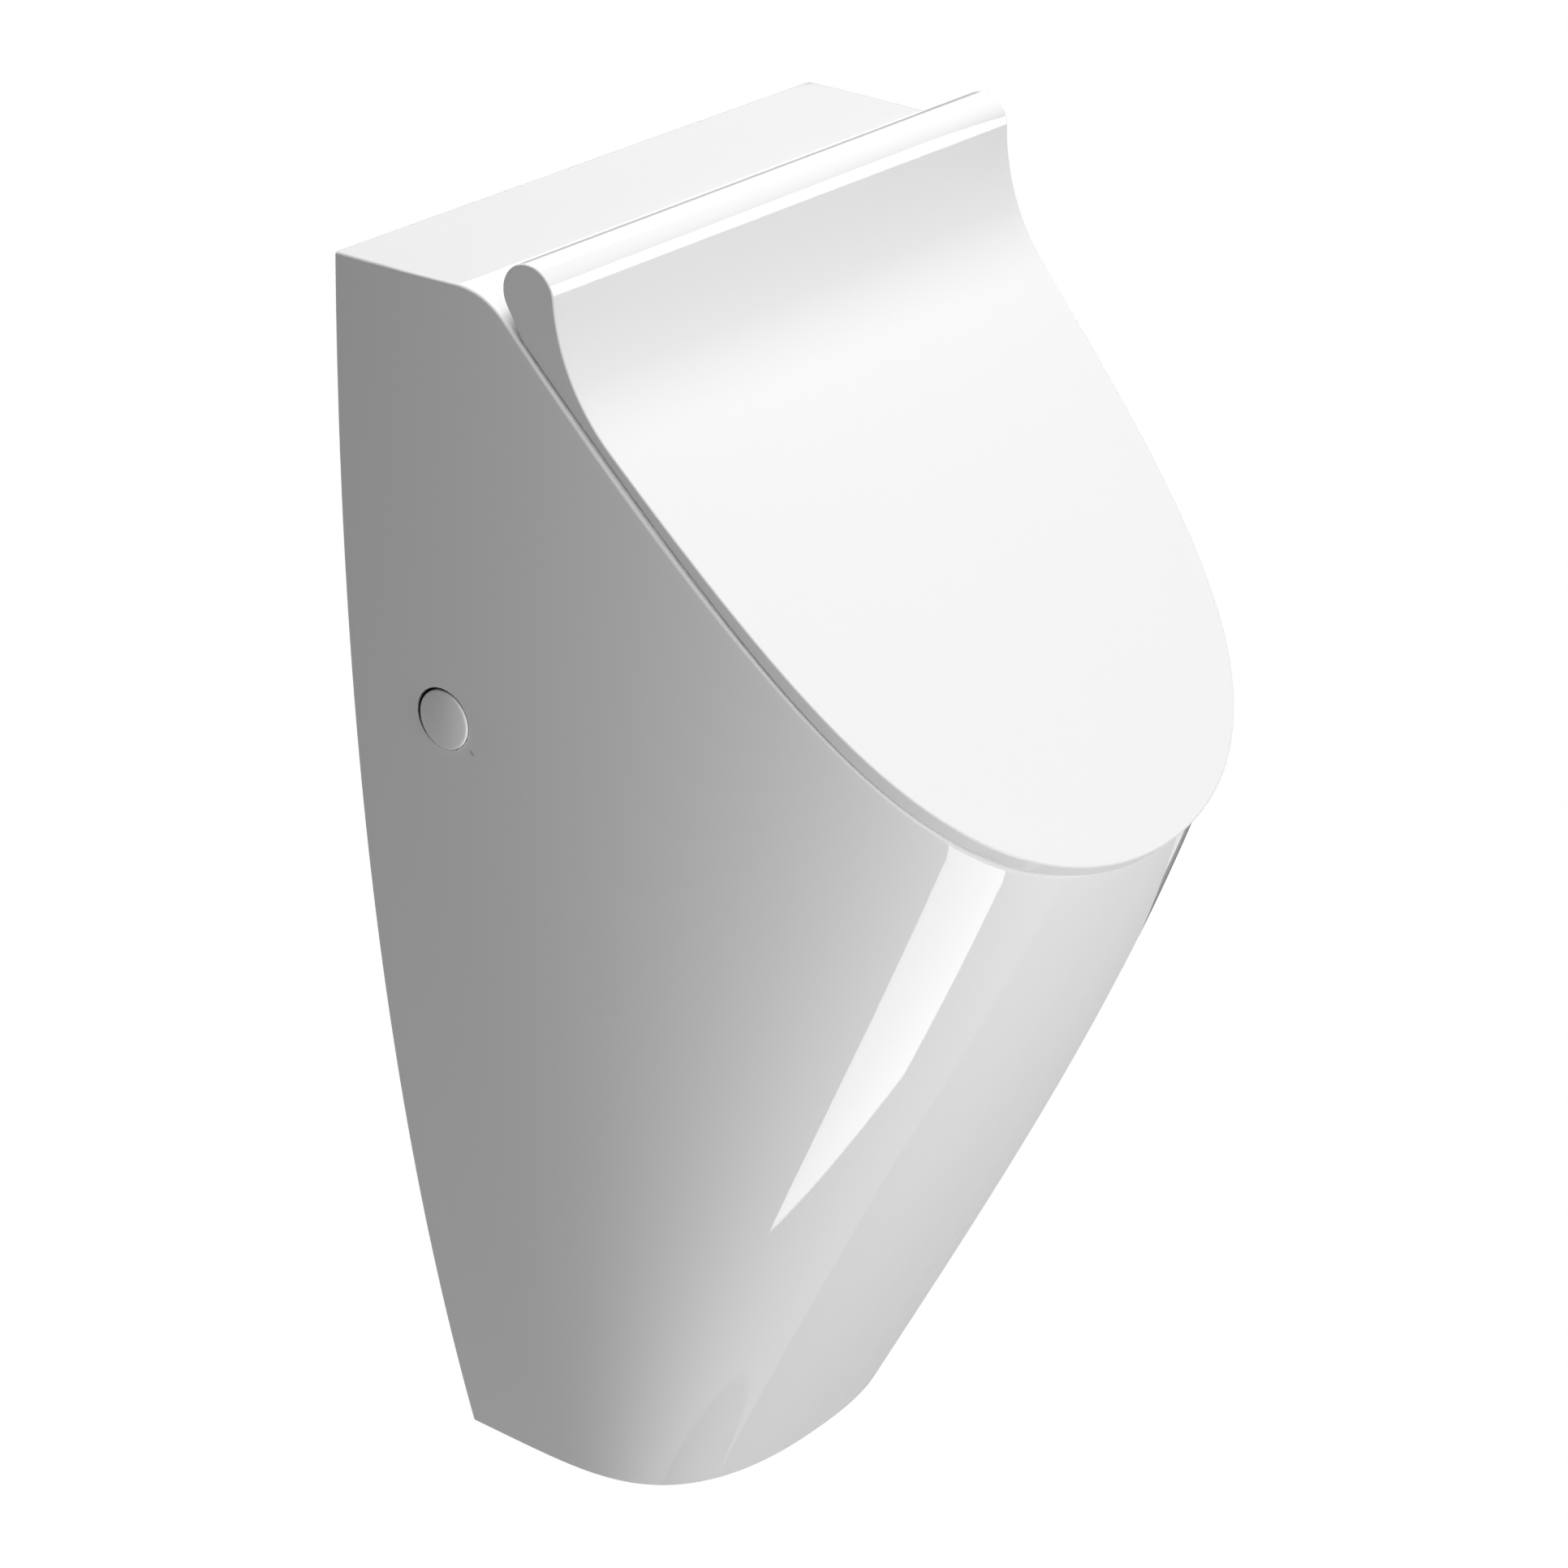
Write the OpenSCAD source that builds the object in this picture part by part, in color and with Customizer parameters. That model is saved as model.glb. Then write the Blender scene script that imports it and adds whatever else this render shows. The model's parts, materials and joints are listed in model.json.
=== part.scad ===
// Wall hung urinal with a lid, fixed from its sides.
// X runs to the viewer's right, the wall is the plane Y = 0, the room is at -Y and Z points up.
// The origin lies on the wall, midway between the two wall fixings.
// Depths are measured from the wall, and drops are measured down from the flat top.

/* [Body] */
// Width of the flat top at the wall
top_w = 330; // [310:1:350]
// Height from the flat top to the lower edge
body_h = 641.5; // [620:0.5:680]
// Depth that the upper body's depth curve is drawn to
body_d = 340; // [330:1:360]
// Depth of the lower edge
skirt_d = 140.8; // [136:0.1:150]
// Thickness of the china walls
china_t = 10; // [8:0.5:12]
// Depth of the corner where the flat top meets the sloped rim
rim_corner_d = 85.7; // [82:0.1:90]
// Slope of the rim, in degrees from level
rim_slope = 46.4; // [45:0.1:48]
// Radius that blends the flat top into the rim
top_blend_r = 36; // [25:1:42]

/* [Bowl] */
// Distance from the body's sides to the bowl's sides
bowl_side_inset = 32; // [28:1:38]
// Distance from the body's front to the bowl's front
bowl_front_inset = 14; // [12:1:18]
// Depth of the bowl's back wall
bowl_back_d = 86; // [82:1:92]
// How far the top of the back wall leans into the bowl
bowl_lean = 72; // [50:1:80]
// Drop over which the back wall leans
bowl_lean_drop = 115; // [100:1:125]
// Height of the bowl's floor above the lower edge
bowl_floor_above = 189.5; // [180:0.5:210]
// Height of the rounded floor
bowl_floor_rise = 107; // [90:1:130]
// Radius of the flat ring round the drain
floor_r = 31; // [29:1:31]

/* [Lid] */
// Depth of the hinge axis
hinge_d = 110.5; // [108:0.5:113]
// Height of the hinge axis above the flat top
hinge_rise = 2.7; // [1:0.1:5]
// Slope of the closed lid's face, in degrees from level
lid_slope = 45.4; // [44:0.1:46]
// Radius of the roll along the lid's top edge
roll_r = 14.2; // [13.5:0.1:15]
// Distance from the hinge axis down to the lid's face
face_drop = 14.6; // [14:0.1:15]
// Radius of the hollow run from the roll to the face
run_r = 94; // [80:1:110]
// Slope of the heel behind the roll, against the face
heel_slope = 16; // [12:1:20]
// Gap between the closed lid and the rim
lid_gap = 2; // [1.5:0.1:2.5]
// How far the lid's tip stands past the rim's tip
lid_tip_over = 3.7; // [1:0.1:6]
// Distance along the face from the outline's widest line to the hinge axis
outline_back = 97; // [92:1:100]
// Distance from the lid's sides to the sides of the flat top
lid_side_gap = 3.7; // [2:0.1:10]
// Thickness of the lid's plate inside its edge
plate_t = 5; // [4:0.5:6]
// Width of the thick edge under the lid
lid_edge = 18; // [14:1:24]
// Largest angle that the lid opens to
lid_open_angle = 138; // [120:1:138]

/* [Hinge] */
// Distance from the lid's sides to the middle of the hinge posts
hinge_inset = 61.3; // [56:0.1:72]
// Width of a hinge post
post_w = 18; // [14:1:20]
// Radius of the eye on a post
eye_r = 7; // [6.5:0.1:7.5]
// Thickness of a post's arm
arm_t = 6; // [5:0.5:6.5]
// Angle of the arm below the rim's line
arm_angle = 36; // [34:1:38]
// Thickness of a post's foot
foot_t = 4; // [3:0.5:4.5]
// Length of a post's foot in front of the axis
foot_toe = 31; // [30:0.5:32]
// Radius of the hinge shafts
shaft_r = 4; // [3:0.5:4.5]
// Radius of the hinge studs
stud_r = 4; // [3:0.5:4]
// Distance of the studs in front of the hinge axis
stud_toe = 9.5; // [9:0.5:10]
// Radius of a closing damper
damper_r = 9; // [8:0.5:9.5]
// Length of a closing damper
damper_l = 55; // [45:1:60]

/* [Wall fixing] */
// Drop of the fixings below the flat top
fixing_drop = 208.6; // [195:0.1:220]
// Depth of the side screws
side_hole_d = 56.3; // [50:0.1:60]
// Radius of the side holes
side_hole_r = 15; // [13:0.5:17]
// Length of each side boss, from the body's side to the boss's flat inner face
boss_l = 17.74; // [17:0.01:19]
// Distance from each bracket's side leg to its wall hole
wall_hole_inset = 27.7; // [23:0.1:38]
// Radius of the wall holes
wall_hole_r = 5.25; // [4:0.25:6.25]
// Thickness of the bracket steel
bracket_t = 4; // [3:0.5:5]
// Height of a bracket
bracket_h = 56; // [48:1:64]

/* [Water] */
// Drop of the inlet
inlet_drop = 150; // [145:1:160]
// Radius of the wall pipe that the inlet socket takes
inlet_bore_r = 10; // [8:0.5:10.5]
// Length of the inlet socket's bore
inlet_bore_l = 26; // [20:1:28]
// Depth of the drain's centre
drain_d = 118; // [118:1:122]
// Radius of the waste's threaded tube
waste_r = 20; // [18:0.5:20.5]
// Height of the outlet pipe's axis above the lower edge
outlet_above = 117.5; // [114:0.5:120]
// Radius of the outlet pipe inside the trap's nut
outlet_r = 20; // [16:0.5:20]
// Radius of the outlet pipe's wider end, which the wall's drain socket takes
outlet_end_r = 25; // [22:0.5:28]
// Radius of the trap
trap_r = 32; // [30:0.5:33]

/* [Hidden] */

// Shapes of the body, as control shares of half the top's width and of the two depths
width_shares = [1, 1.065, 0.964, 0.634];
rim_depth_shares = [1.12, 1.1];
skirt_depth_shares = [1.787, 1];
// Fullness of the body's plan from the top to the bottom: 2 is an ellipse, more is squarer
plan_front_fullness = [1.96, 2.16, 3.8, 4.82];
plan_side_fullness = [2.61, 2.38];
// Fullness of the bowl's plan in front of and behind its middle
bowl_front_fullness = 2.4;
bowl_back_fullness = 4;
// How much fuller than an ellipse the lid is, as a cubic along its length
lid_fullness_shares = [1, 0.096, -0.111, 0.557];
// Extra inset of the bowl's sides and front at the drop of its floor
bowl_side_taper = 12;
bowl_front_taper = 20;

// Steps of the curved surfaces
plan_steps = 48;
body_levels = 20;
bowl_levels = 8;
floor_levels = 8;
outline_steps = 24;
arc_step = 4;
dome_steps = 8;
round_fn = 64;

// Clearances
seat = 0.15;
fit = 0.05;
over = 1;
pad_gap = 0.3;

// Places that several pieces share
top_z = fixing_drop;
hinge_z = top_z + hinge_rise;
inlet_z = top_z - inlet_drop;
bowl_floor_drop = body_h - bowl_floor_above;
floor_z = top_z - bowl_floor_drop;
outlet_z = top_z - body_h + outlet_above;
lid_w = top_w - 2 * lid_side_gap;
hinge_x = lid_w / 2 - hinge_inset;
axis_above_rim = (hinge_d - rim_corner_d) * sin(rim_slope) + hinge_rise * cos(rim_slope);
slope_gap = rim_slope - lid_slope;
drain_back = drain_d - bowl_back_d;

// Point on a smooth curve drawn by its control values, u from 0 to 1
function bezier(c, u) = len(c) == 1
    ? c[0]
    : bezier([for (i = [0:len(c) - 2]) c[i] * (1 - u) + c[i + 1] * u], u);
function mix(pair, u) = pair[0] * (1 - u) + pair[1] * u;
function share_of(drop) = min(1, max(0, drop / body_h));
function half_width_at(drop) = top_w / 2 * bezier(width_shares, share_of(drop));
function depth_at(drop) =
    bezier(concat(body_d * rim_depth_shares, skirt_d * skirt_depth_shares), share_of(drop));
function rim_drop_at(depth) = (depth - rim_corner_d) * tan(rim_slope);
// Drop of the rim's tip, found by stepping between the rim's line and the depth curve
tip_turns = 12;
function tip_drop(turns, drop) = turns == 0 ? drop : tip_drop(turns - 1, rim_drop_at(depth_at(drop)));
rim_tip_drop = tip_drop(tip_turns, rim_drop_at(body_d));

// Height of a dome of radius r and the given rise at a distance from its middle
function dome(distance, r, rise) =
    let (ball = (r * r + rise * rise) / (2 * rise))
    sqrt(ball * ball - distance * distance) - ball + rise;

// Points along such a dome from its middle out to a distance
function dome_arc(out, r, rise) =
    [for (i = [0:dome_steps]) let (x = out * i / dome_steps) [x, dome(x, r, rise)]];

// One coordinate of a squared ellipse; fullness 2 gives the plain ellipse
function squared(c, fullness) = sign(c) * pow(abs(c), 2 / fullness);

// Plan of the body at a drop, thinned by inset, from the right back edge round the front
function body_ring(drop, inset) =
    let (u = share_of(drop),
        w = half_width_at(drop) - inset,
        d = depth_at(drop) - inset,
        pf = bezier(plan_front_fullness, u),
        ps = bezier(plan_side_fullness, u))
    [for (i = [0:plan_steps])
        let (a = 180 * i / plan_steps)
        [w * squared(cos(a), ps), -d * squared(sin(a), pf), top_z - drop]];

// The same plan carried past the wall plane, for the hollow
function hollow_ring(drop) =
    let (w = half_width_at(drop) - china_t)
    concat([[w, over, top_z - drop]], body_ring(drop, china_t), [[-w, over, top_z - drop]]);

// Solid between rings of equal count, stacked from the top down
module loft(rings) {
    n = len(rings[0]);
    m = len(rings);
    top_cap = [for (i = [0:n - 1]) i];
    low_cap = [for (i = [n - 1:-1:0]) (m - 1) * n + i];
    walls = [for (j = [0:m - 2], i = [0:n - 1])
        let (k = (i + 1) % n)
        each [[j * n + k, j * n + i, (j + 1) * n + k], [j * n + i, (j + 1) * n + i, (j + 1) * n + k]]];
    polyhedron(points = [for (r = rings) each r], faces = concat([top_cap, low_cap], walls), convexity = 6);
}

// Prism across the object whose outline is given as [depth, height] points
module across(points, width) {
    rotate([90, 0, 90])
        linear_extrude(width, center = true, convexity = 4)
            mirror([1, 0, 0])
                polygon(points);
}

// Round bar along X
module x_rod(r, from_x, to_x) {
    translate([min(from_x, to_x), 0, 0])
        rotate([0, 90, 0])
            cylinder(r = r, h = abs(to_x - from_x), $fn = round_fn);
}

// Ring along X
module x_ring(r, hole_r, from_x, to_x) {
    difference() {
        x_rod(r, from_x, to_x);
        x_rod(hole_r, min(from_x, to_x) - over, max(from_x, to_x) + over);
    }
}

// Ring that stands on its place and rises along Z
module z_ring(r, hole_r, h) {
    difference() {
        cylinder(r = r, h = h, $fn = round_fn);
        translate([0, 0, -over])
            cylinder(r = hole_r, h = h + 2 * over, $fn = round_fn);
    }
}

// Six-sided nut, given by its width across the flats
module hex_nut(flats, hole_r, h) {
    difference() {
        cylinder(d = flats / cos(30), h = h, $fn = 6);
        translate([0, 0, -over])
            cylinder(r = hole_r, h = h + 2 * over, $fn = round_fn);
    }
}

// Side view of the top: flat, blended into the sloped rim, thinned by inset
function top_profile(inset) =
    let (half = tan(rim_slope / 2),
        corner = rim_corner_d - inset * half,
        r = top_blend_r - inset,
        start = corner - r * half,
        far = body_d + bowl_lean,
        low = -body_h - 2 * over)
    concat([[-2 * over, low], [-2 * over, -inset]],
        [for (a = [0:arc_step:rim_slope]) [start + r * sin(a), -inset - r * (1 - cos(a))]],
        [[start + r * sin(rim_slope), -inset - r * (1 - cos(rim_slope))],
            [far, -inset - (far - corner) * tan(rim_slope)], [far, low]]);

module under_top(inset) {
    translate([0, 0, top_z])
        across(top_profile(inset), 2 * top_w);
}

/* The bowl: an oval that follows the body one rim band inside, closed by a rounded floor */
function bowl_back_at(drop) =
    let (left = 1 - (drop - 2 * china_t) / (bowl_lean_drop - 2 * china_t))
    bowl_back_d + bowl_lean * pow(max(0, left), 2);
function bowl_ring(drop, close, grow) =
    let (u = pow(max(0, (drop - rim_tip_drop) / (bowl_floor_drop - rim_tip_drop)), 2),
        back = bowl_back_at(drop),
        mid = back + drain_back,
        side = half_width_at(max(drop, bowl_lean_drop)) - bowl_side_inset - bowl_side_taper * u,
        front = depth_at(max(drop, rim_tip_drop)) - bowl_front_inset - bowl_front_taper * u - drain_d,
        w = mix([side, floor_r], close) + grow,
        f = mix([front, floor_r], close) + grow,
        b = mix([drain_back, floor_r], close) + grow,
        nf = mix([bowl_front_fullness, 2], close),
        nb = mix([bowl_back_fullness, 2], close))
    [for (i = [0:plan_steps - 1])
        let (a = 360 * i / plan_steps,
            n = i < plan_steps / 2 ? nf : nb,
            d = i < plan_steps / 2 ? f : b)
        [w * squared(cos(a), n), -mid - d * squared(sin(a), n), top_z - drop - grow * close]];
function bowl_rings(grow) =
    let (start = bowl_floor_drop - bowl_floor_rise)
    concat([for (j = [0:bowl_levels])
            bowl_ring(2 * china_t + (bowl_lean_drop - 2 * china_t) * j / bowl_levels, 0, grow)],
        [for (j = [1:bowl_levels])
            bowl_ring(bowl_lean_drop + (start - bowl_lean_drop) * j / bowl_levels, 0, grow)],
        [for (j = [1:floor_levels])
            let (a = 90 * j / floor_levels)
            bowl_ring(start + bowl_floor_rise * sin(a), 1 - cos(a), grow)]);

/* Side holes, which are stepped so that a bush seats in each */
function side_x_at(drop, depth) =
    let (u = share_of(drop),
        s = pow(depth / depth_at(drop), bezier(plan_front_fullness, u) / 2))
    half_width_at(drop) * pow(1 - s * s, 1 / bezier(plan_side_fullness, u));
cap_recess = 2;
cap_t = 2;
cap_dome = 0.9;
cap_wall = 1.6;
cap_skirt = 5.5;
side_x = side_x_at(fixing_drop, side_hole_d);
boss_face_x = side_x - boss_l;
cap_face_x = side_x - cap_recess;
bush_seat_x = cap_face_x - cap_t - cap_skirt - 2 * seat;
bush_flange_t = 2;
bush_sleeve_r = 9;
boss_r = 24;
screw_r = 4;
screw_head_r = 6.5;
screw_head_h = 4.5;
screw_play = 0.4;

module at_side_hole() {
    translate([0, -side_hole_d, 0])
        children();
}

/* Inlet hole and drain hole */
stem_r = 12;
stem_bore_r = 8;
stem_play = 2;
drain_hole_play = 1.5;
stud_hole_play = 1.5;

module ceramic_body() {
    color([0.94, 0.94, 0.93])
    difference() {
        intersection() {
            loft([for (j = [0:body_levels]) body_ring(body_h * j / body_levels, 0)]);
            under_top(0);
        }
        difference() {
            intersection() {
                loft([for (j = [0:body_levels]) hollow_ring((body_h + 3 * over) * j / body_levels)]);
                under_top(china_t);
            }
            loft(bowl_rings(china_t));
            for (side = [-1, 1])
                at_side_hole()
                    x_rod(boss_r, side * boss_face_x, side * top_w);
        }
        loft(bowl_rings(0));
        for (side = [-1, 1]) {
            at_side_hole() {
                x_rod(side_hole_r, side * (bush_seat_x - bush_flange_t), side * top_w);
                x_rod(bush_sleeve_r + seat, side * (boss_face_x - over), side * top_w);
            }
            at_hinge(rim_slope)
                translate([side * hinge_x, -stud_toe, -axis_above_rim - 2 * china_t])
                    cylinder(r = stud_r + stud_hole_play, h = 3 * china_t, $fn = round_fn);
        }
        translate([0, 0, inlet_z])
            rotate([90, 0, 0])
                cylinder(r = stem_r + stem_play, h = bowl_back_d + china_t, $fn = round_fn);
        translate([0, -drain_d, floor_z - 2 * china_t])
            cylinder(r = waste_r + drain_hole_play, h = 3 * china_t, $fn = round_fn);
    }
}

/* The lid, drawn in the frame of its hinge: Y runs up the lid and Z points out of its face */
module at_hinge(slope) {
    translate([0, -hinge_d, hinge_z])
        rotate([slope, 0, 0])
            children();
}

under_drop = (axis_above_rim - lid_gap) / cos(slope_gap);
lid_tip = (depth_at(rim_tip_drop) - hinge_d) * cos(lid_slope)
    + (rim_tip_drop + hinge_rise) * sin(lid_slope) + lid_tip_over;
outline_l = lid_tip + outline_back;
function lid_under(along) = -under_drop - along * tan(slope_gap);

// Side view of the lid as [distance along the face, height over the axis]
function lid_profile() =
    let (run_c = sqrt(pow(run_r + roll_r, 2) - pow(run_r - face_drop, 2)),
        join = atan2(run_r - face_drop, run_c),
        heel = 270 - heel_slope,
        hx = roll_r * cos(heel),
        hz = roll_r * sin(heel),
        meet = (hz + hx * tan(heel_slope) + under_drop) / (tan(heel_slope) - tan(slope_gap)),
        far = lid_tip + over)
    concat([for (i = [0:outline_steps]) let (a = join + (heel - join) * i / outline_steps)
            [roll_r * cos(a), roll_r * sin(a)]],
        [[meet, lid_under(meet)], [far, lid_under(far)], [far, -face_drop]],
        [for (i = [0:outline_steps / 2]) let (a = 270 - (90 - join) * 2 * i / outline_steps)
            if (i < outline_steps / 2) [run_c + run_r * cos(a), run_r - face_drop + run_r * sin(a)]]);

// Half the lid's width at a share of its outline's length
function lid_half(u) =
    let (k = lid_fullness_shares)
    lid_w / 2 * sqrt(max(0, 1 - u * u)) * (k[0] + k[1] * u + k[2] * u * u + k[3] * u * u * u);

// Outline of the lid seen square to its face, moved in by inset
function lid_outline(from, inset) =
    let (first = asin((outline_back + from) / outline_l),
        edge = [for (i = [0:outline_steps]) let (a = first + (90 - first) * i / outline_steps, u = sin(a))
            [max(0, lid_half(u) - inset * cos(a) * (i == outline_steps ? 0 : 1)),
                -(outline_l * u - outline_back - inset * u)]])
    concat(edge, [for (i = [outline_steps - 1:-1:0]) [-edge[i][0], edge[i][1]]]);

module lid_prism(from, inset, low, high) {
    translate([0, 0, low])
        linear_extrude(high - low, convexity = 4)
            polygon(lid_outline(from, inset));
}

// Space that a post sweeps in the lid while it opens, seen from the side
slot_play = 0.6;
slot_spare_angle = 1;
slot_r = sqrt(pow(foot_toe, 2) + pow(axis_above_rim - foot_t, 2)) + 2 * slot_play;
module post_slot() {
    from = arm_angle + slope_gap;
    to = from + lid_open_angle + slot_spare_angle;
    k = arm_t / 2 + slot_play;
    lean = asin(k / slot_r);
    toe = atan2(axis_above_rim - foot_t - 2 * seat, foot_toe) + slope_gap;
    start = min(from - lean, toe - slot_spare_angle);
    end = to + lean;
    edge_from = [k * sin(from), k * cos(from)];
    edge_to = [-k * sin(to), -k * cos(to)];
    arc = [for (i = [0:outline_steps]) let (a = start + (end - start) * i / outline_steps)
        [slot_r * cos(a), -slot_r * sin(a)]];
    across(concat([edge_from], arc, [edge_to]), post_w + 2 * slot_play);
    x_rod(eye_r + 2 * slot_play, -post_w / 2 - slot_play, post_w / 2 + slot_play);
}

damper_start = hinge_x - post_w / 2 - slot_play;
spacer_l = 14;
channel_end = damper_start - damper_l - spacer_l - 4 * seat;
channel_lip = 0.8;
// Where the lid's thin plate begins, as a share of its tip's distance
plate_start_share = 1 / 3;
bush_r = 6;
bush_l = 13;
bush_start = hinge_x + post_w / 2 + slot_play;
shaft_in = 18;
shaft_out = 12;
pad_r = 8;
pad_stem_r = 3;
pad_stem_l = 2.5;
// Places of the lid's buffers, as shares of the lid's half width and of its tip's distance
pad_shares = [[0.88, 0.2], [0.66, 0.745]];

module each_pad() {
    for (side = [-1, 1], p = pad_shares)
        translate([side * p[0] * lid_w / 2, -p[1] * lid_tip, -axis_above_rim + pad_gap])
            children();
}

module lid_cover() {
    color([0.97, 0.97, 0.96])
    difference() {
        at_hinge(lid_slope)
        difference() {
            intersection() {
                across(lid_profile(), lid_w + 2 * over);
                lid_prism(-roll_r - over, 0, -2 * under_drop, 2 * roll_r);
            }
            lid_prism(plate_start_share * lid_tip, lid_edge, -2 * under_drop, -face_drop - plate_t);
            for (side = [-1, 1]) {
                translate([side * hinge_x, 0, 0])
                    post_slot();
                x_rod(damper_r + fit, side * channel_end, side * (damper_start + over));
                translate([side * (damper_start + over + channel_end) / 2, 0, 0])
                    across([[-damper_r + channel_lip, 0], [-damper_r + channel_lip, -2 * damper_r],
                            [damper_r - channel_lip, -2 * damper_r],
                            [damper_r - channel_lip, 0]], damper_start + over - channel_end);
                x_rod(bush_r + fit / 2, side * (bush_start - over), side * (bush_start + bush_l + seat));
            }
        }
        at_hinge(rim_slope)
            each_pad()
                cylinder(r = pad_stem_r, h = lid_gap - pad_gap + pad_stem_l, $fn = round_fn);
    }
}

module lid_buffers() {
    color([0.85, 0.85, 0.84])
    at_hinge(rim_slope)
        each_pad() {
            cylinder(r = pad_r, h = lid_gap - pad_gap, $fn = round_fn);
            cylinder(r = pad_stem_r - fit, h = lid_gap - pad_gap + pad_stem_l - seat, $fn = round_fn);
        }
}

/* Hinge posts, which stand on the rim */
stud_head_r = 5;
stud_head_h = 2;
foot_heel = 1;
module hinge_post(side) {
    foot_top = -axis_above_rim + seat + foot_t;
    arm_end = (-foot_top + foot_t / 2) / sin(arm_angle);
    across_arm = [arm_t / 2 * sin(arm_angle), arm_t / 2 * cos(arm_angle)];
    end = [arm_end * cos(arm_angle), -arm_end * sin(arm_angle)];
    color([0.8, 0.8, 0.8])
    at_hinge(rim_slope)
    translate([side * hinge_x, 0, 0])
    difference() {
        union() {
            x_rod(eye_r, -post_w / 2, post_w / 2);
            across([across_arm, end + across_arm, end - across_arm, -across_arm], post_w);
            across([[-foot_heel, foot_top - foot_t], [-foot_heel, foot_top],
                    [foot_toe, foot_top], [foot_toe, foot_top - foot_t]], post_w);
        }
        x_rod(shaft_r + fit / 2, -post_w, post_w);
        translate([0, -stud_toe, foot_top - foot_t - over])
            cylinder(r = stud_r + fit, h = foot_t + 2 * over, $fn = round_fn);
        translate([0, -stud_toe, foot_top - stud_head_h - seat])
            cylinder(r = stud_head_r + fit, h = stud_head_h + seat + over, $fn = round_fn);
    }
}

module hinge_post_left() {
    hinge_post(-1);
}

module hinge_post_right() {
    hinge_post(1);
}

washer_r = 9;
washer_t = 3;
washer_sleeve_l = 5;
stud_nut_flats = 13;
stud_nut_h = 6.5;
stud_tail = 3;

module each_stud() {
    at_hinge(rim_slope)
        for (side = [-1, 1])
            translate([side * hinge_x, -stud_toe, -axis_above_rim])
                children();
}

module hinge_studs() {
    below = china_t + washer_t + stud_nut_h + stud_tail;
    color("silver")
    each_stud() {
        translate([0, 0, -below])
            cylinder(r = stud_r, h = below + foot_t + seat, $fn = round_fn);
        translate([0, 0, foot_t + seat - stud_head_h])
            cylinder(r = stud_head_r, h = stud_head_h, $fn = round_fn);
    }
}

module hinge_washers() {
    color([0.15, 0.15, 0.15])
    each_stud()
        translate([0, 0, -china_t - seat - washer_t]) {
            z_ring(washer_r, stud_r + fit, washer_t);
            z_ring(stud_r + stud_hole_play - fit, stud_r + fit, washer_t + washer_sleeve_l);
        }
}

module hinge_nuts() {
    color("silver")
    each_stud()
        translate([0, 0, -china_t - 2 * seat - washer_t - stud_nut_h])
            hex_nut(stud_nut_flats, stud_r + fit, stud_nut_h);
}

module hinge_shafts() {
    color("silver")
    at_hinge(rim_slope)
        for (side = [-1, 1])
            x_rod(shaft_r, side * (damper_start - shaft_in), side * (bush_start + shaft_out));
}

/* Dampers, spacers and bushes, which ride in the lid's roll */
damper_collar_r = 7;
damper_collar_l = 4;
module damper(side) {
    color([0.3, 0.3, 0.32])
    at_hinge(lid_slope)
    difference() {
        union() {
            x_rod(damper_r, side * (damper_start - damper_l), side * (damper_start - damper_collar_l));
            x_rod(damper_collar_r, side * (damper_start - damper_l / 2), side * (damper_start - seat));
        }
        x_rod(shaft_r + fit, side * (damper_start - shaft_in - over), side * (damper_start + over));
    }
}

module damper_left() {
    damper(-1);
}

module damper_right() {
    damper(1);
}

spacer_wall = 3;
module damper_spacers() {
    color([0.9, 0.9, 0.9])
    at_hinge(lid_slope)
        for (side = [-1, 1])
            x_ring(damper_r, damper_r - spacer_wall, side * (channel_end + seat),
                side * (channel_end + seat + spacer_l));
}

module shaft_bushes() {
    color([0.9, 0.9, 0.88])
    at_hinge(lid_slope)
        for (side = [-1, 1])
            x_ring(bush_r, shaft_r + fit, side * bush_start, side * (bush_start + bush_l));
}

/* Wall brackets: a wall leg, a side leg and two gussets, bent from sheet */
bracket_seat = 0.3;
leg_x = boss_face_x - bracket_seat;
wall_hole_x = leg_x - wall_hole_inset;
wall_leg_w = 46;
leg_margin = 12;
gusset_t = 3;
thread_play = 0.1;

module wall_bracket(side) {
    leg_d = side_hole_d + leg_margin;
    color([0.7, 0.71, 0.73])
    difference() {
        mirror([side < 0 ? 1 : 0, 0, 0])
            union() {
                translate([leg_x - wall_leg_w, -bracket_t, -bracket_h / 2])
                    cube([wall_leg_w, bracket_t, bracket_h]);
                translate([leg_x - bracket_t, -leg_d, -bracket_h / 2])
                    cube([bracket_t, leg_d, bracket_h]);
                for (z = [-bracket_h / 2, bracket_h / 2 - gusset_t])
                    translate([0, 0, z])
                        linear_extrude(gusset_t)
                            polygon([[leg_x, -bracket_t / 2], [leg_x - wall_leg_w, -bracket_t / 2],
                                    [leg_x - wall_leg_w, -bracket_t - gusset_t],
                                    [leg_x - bracket_t, -leg_d], [leg_x, -leg_d]]);
            }
        at_side_hole()
            x_rod(screw_r + thread_play, side * (leg_x - 2 * bracket_t), side * (leg_x + over));
        translate([side * wall_hole_x, over, 0])
            rotate([90, 0, 0])
                cylinder(r = wall_hole_r, h = bracket_t + 2 * over, $fn = round_fn);
    }
}

module wall_bracket_left() {
    wall_bracket(-1);
}

module wall_bracket_right() {
    wall_bracket(1);
}

module side_bushes() {
    color([0.88, 0.88, 0.86])
    at_side_hole()
        for (side = [-1, 1]) {
            x_ring(side_hole_r - seat, screw_r + screw_play, side * (bush_seat_x - bush_flange_t + seat),
                side * bush_seat_x);
            x_ring(bush_sleeve_r, screw_r + screw_play, side * boss_face_x,
                side * (bush_seat_x - bush_flange_t / 2));
        }
}

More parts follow.
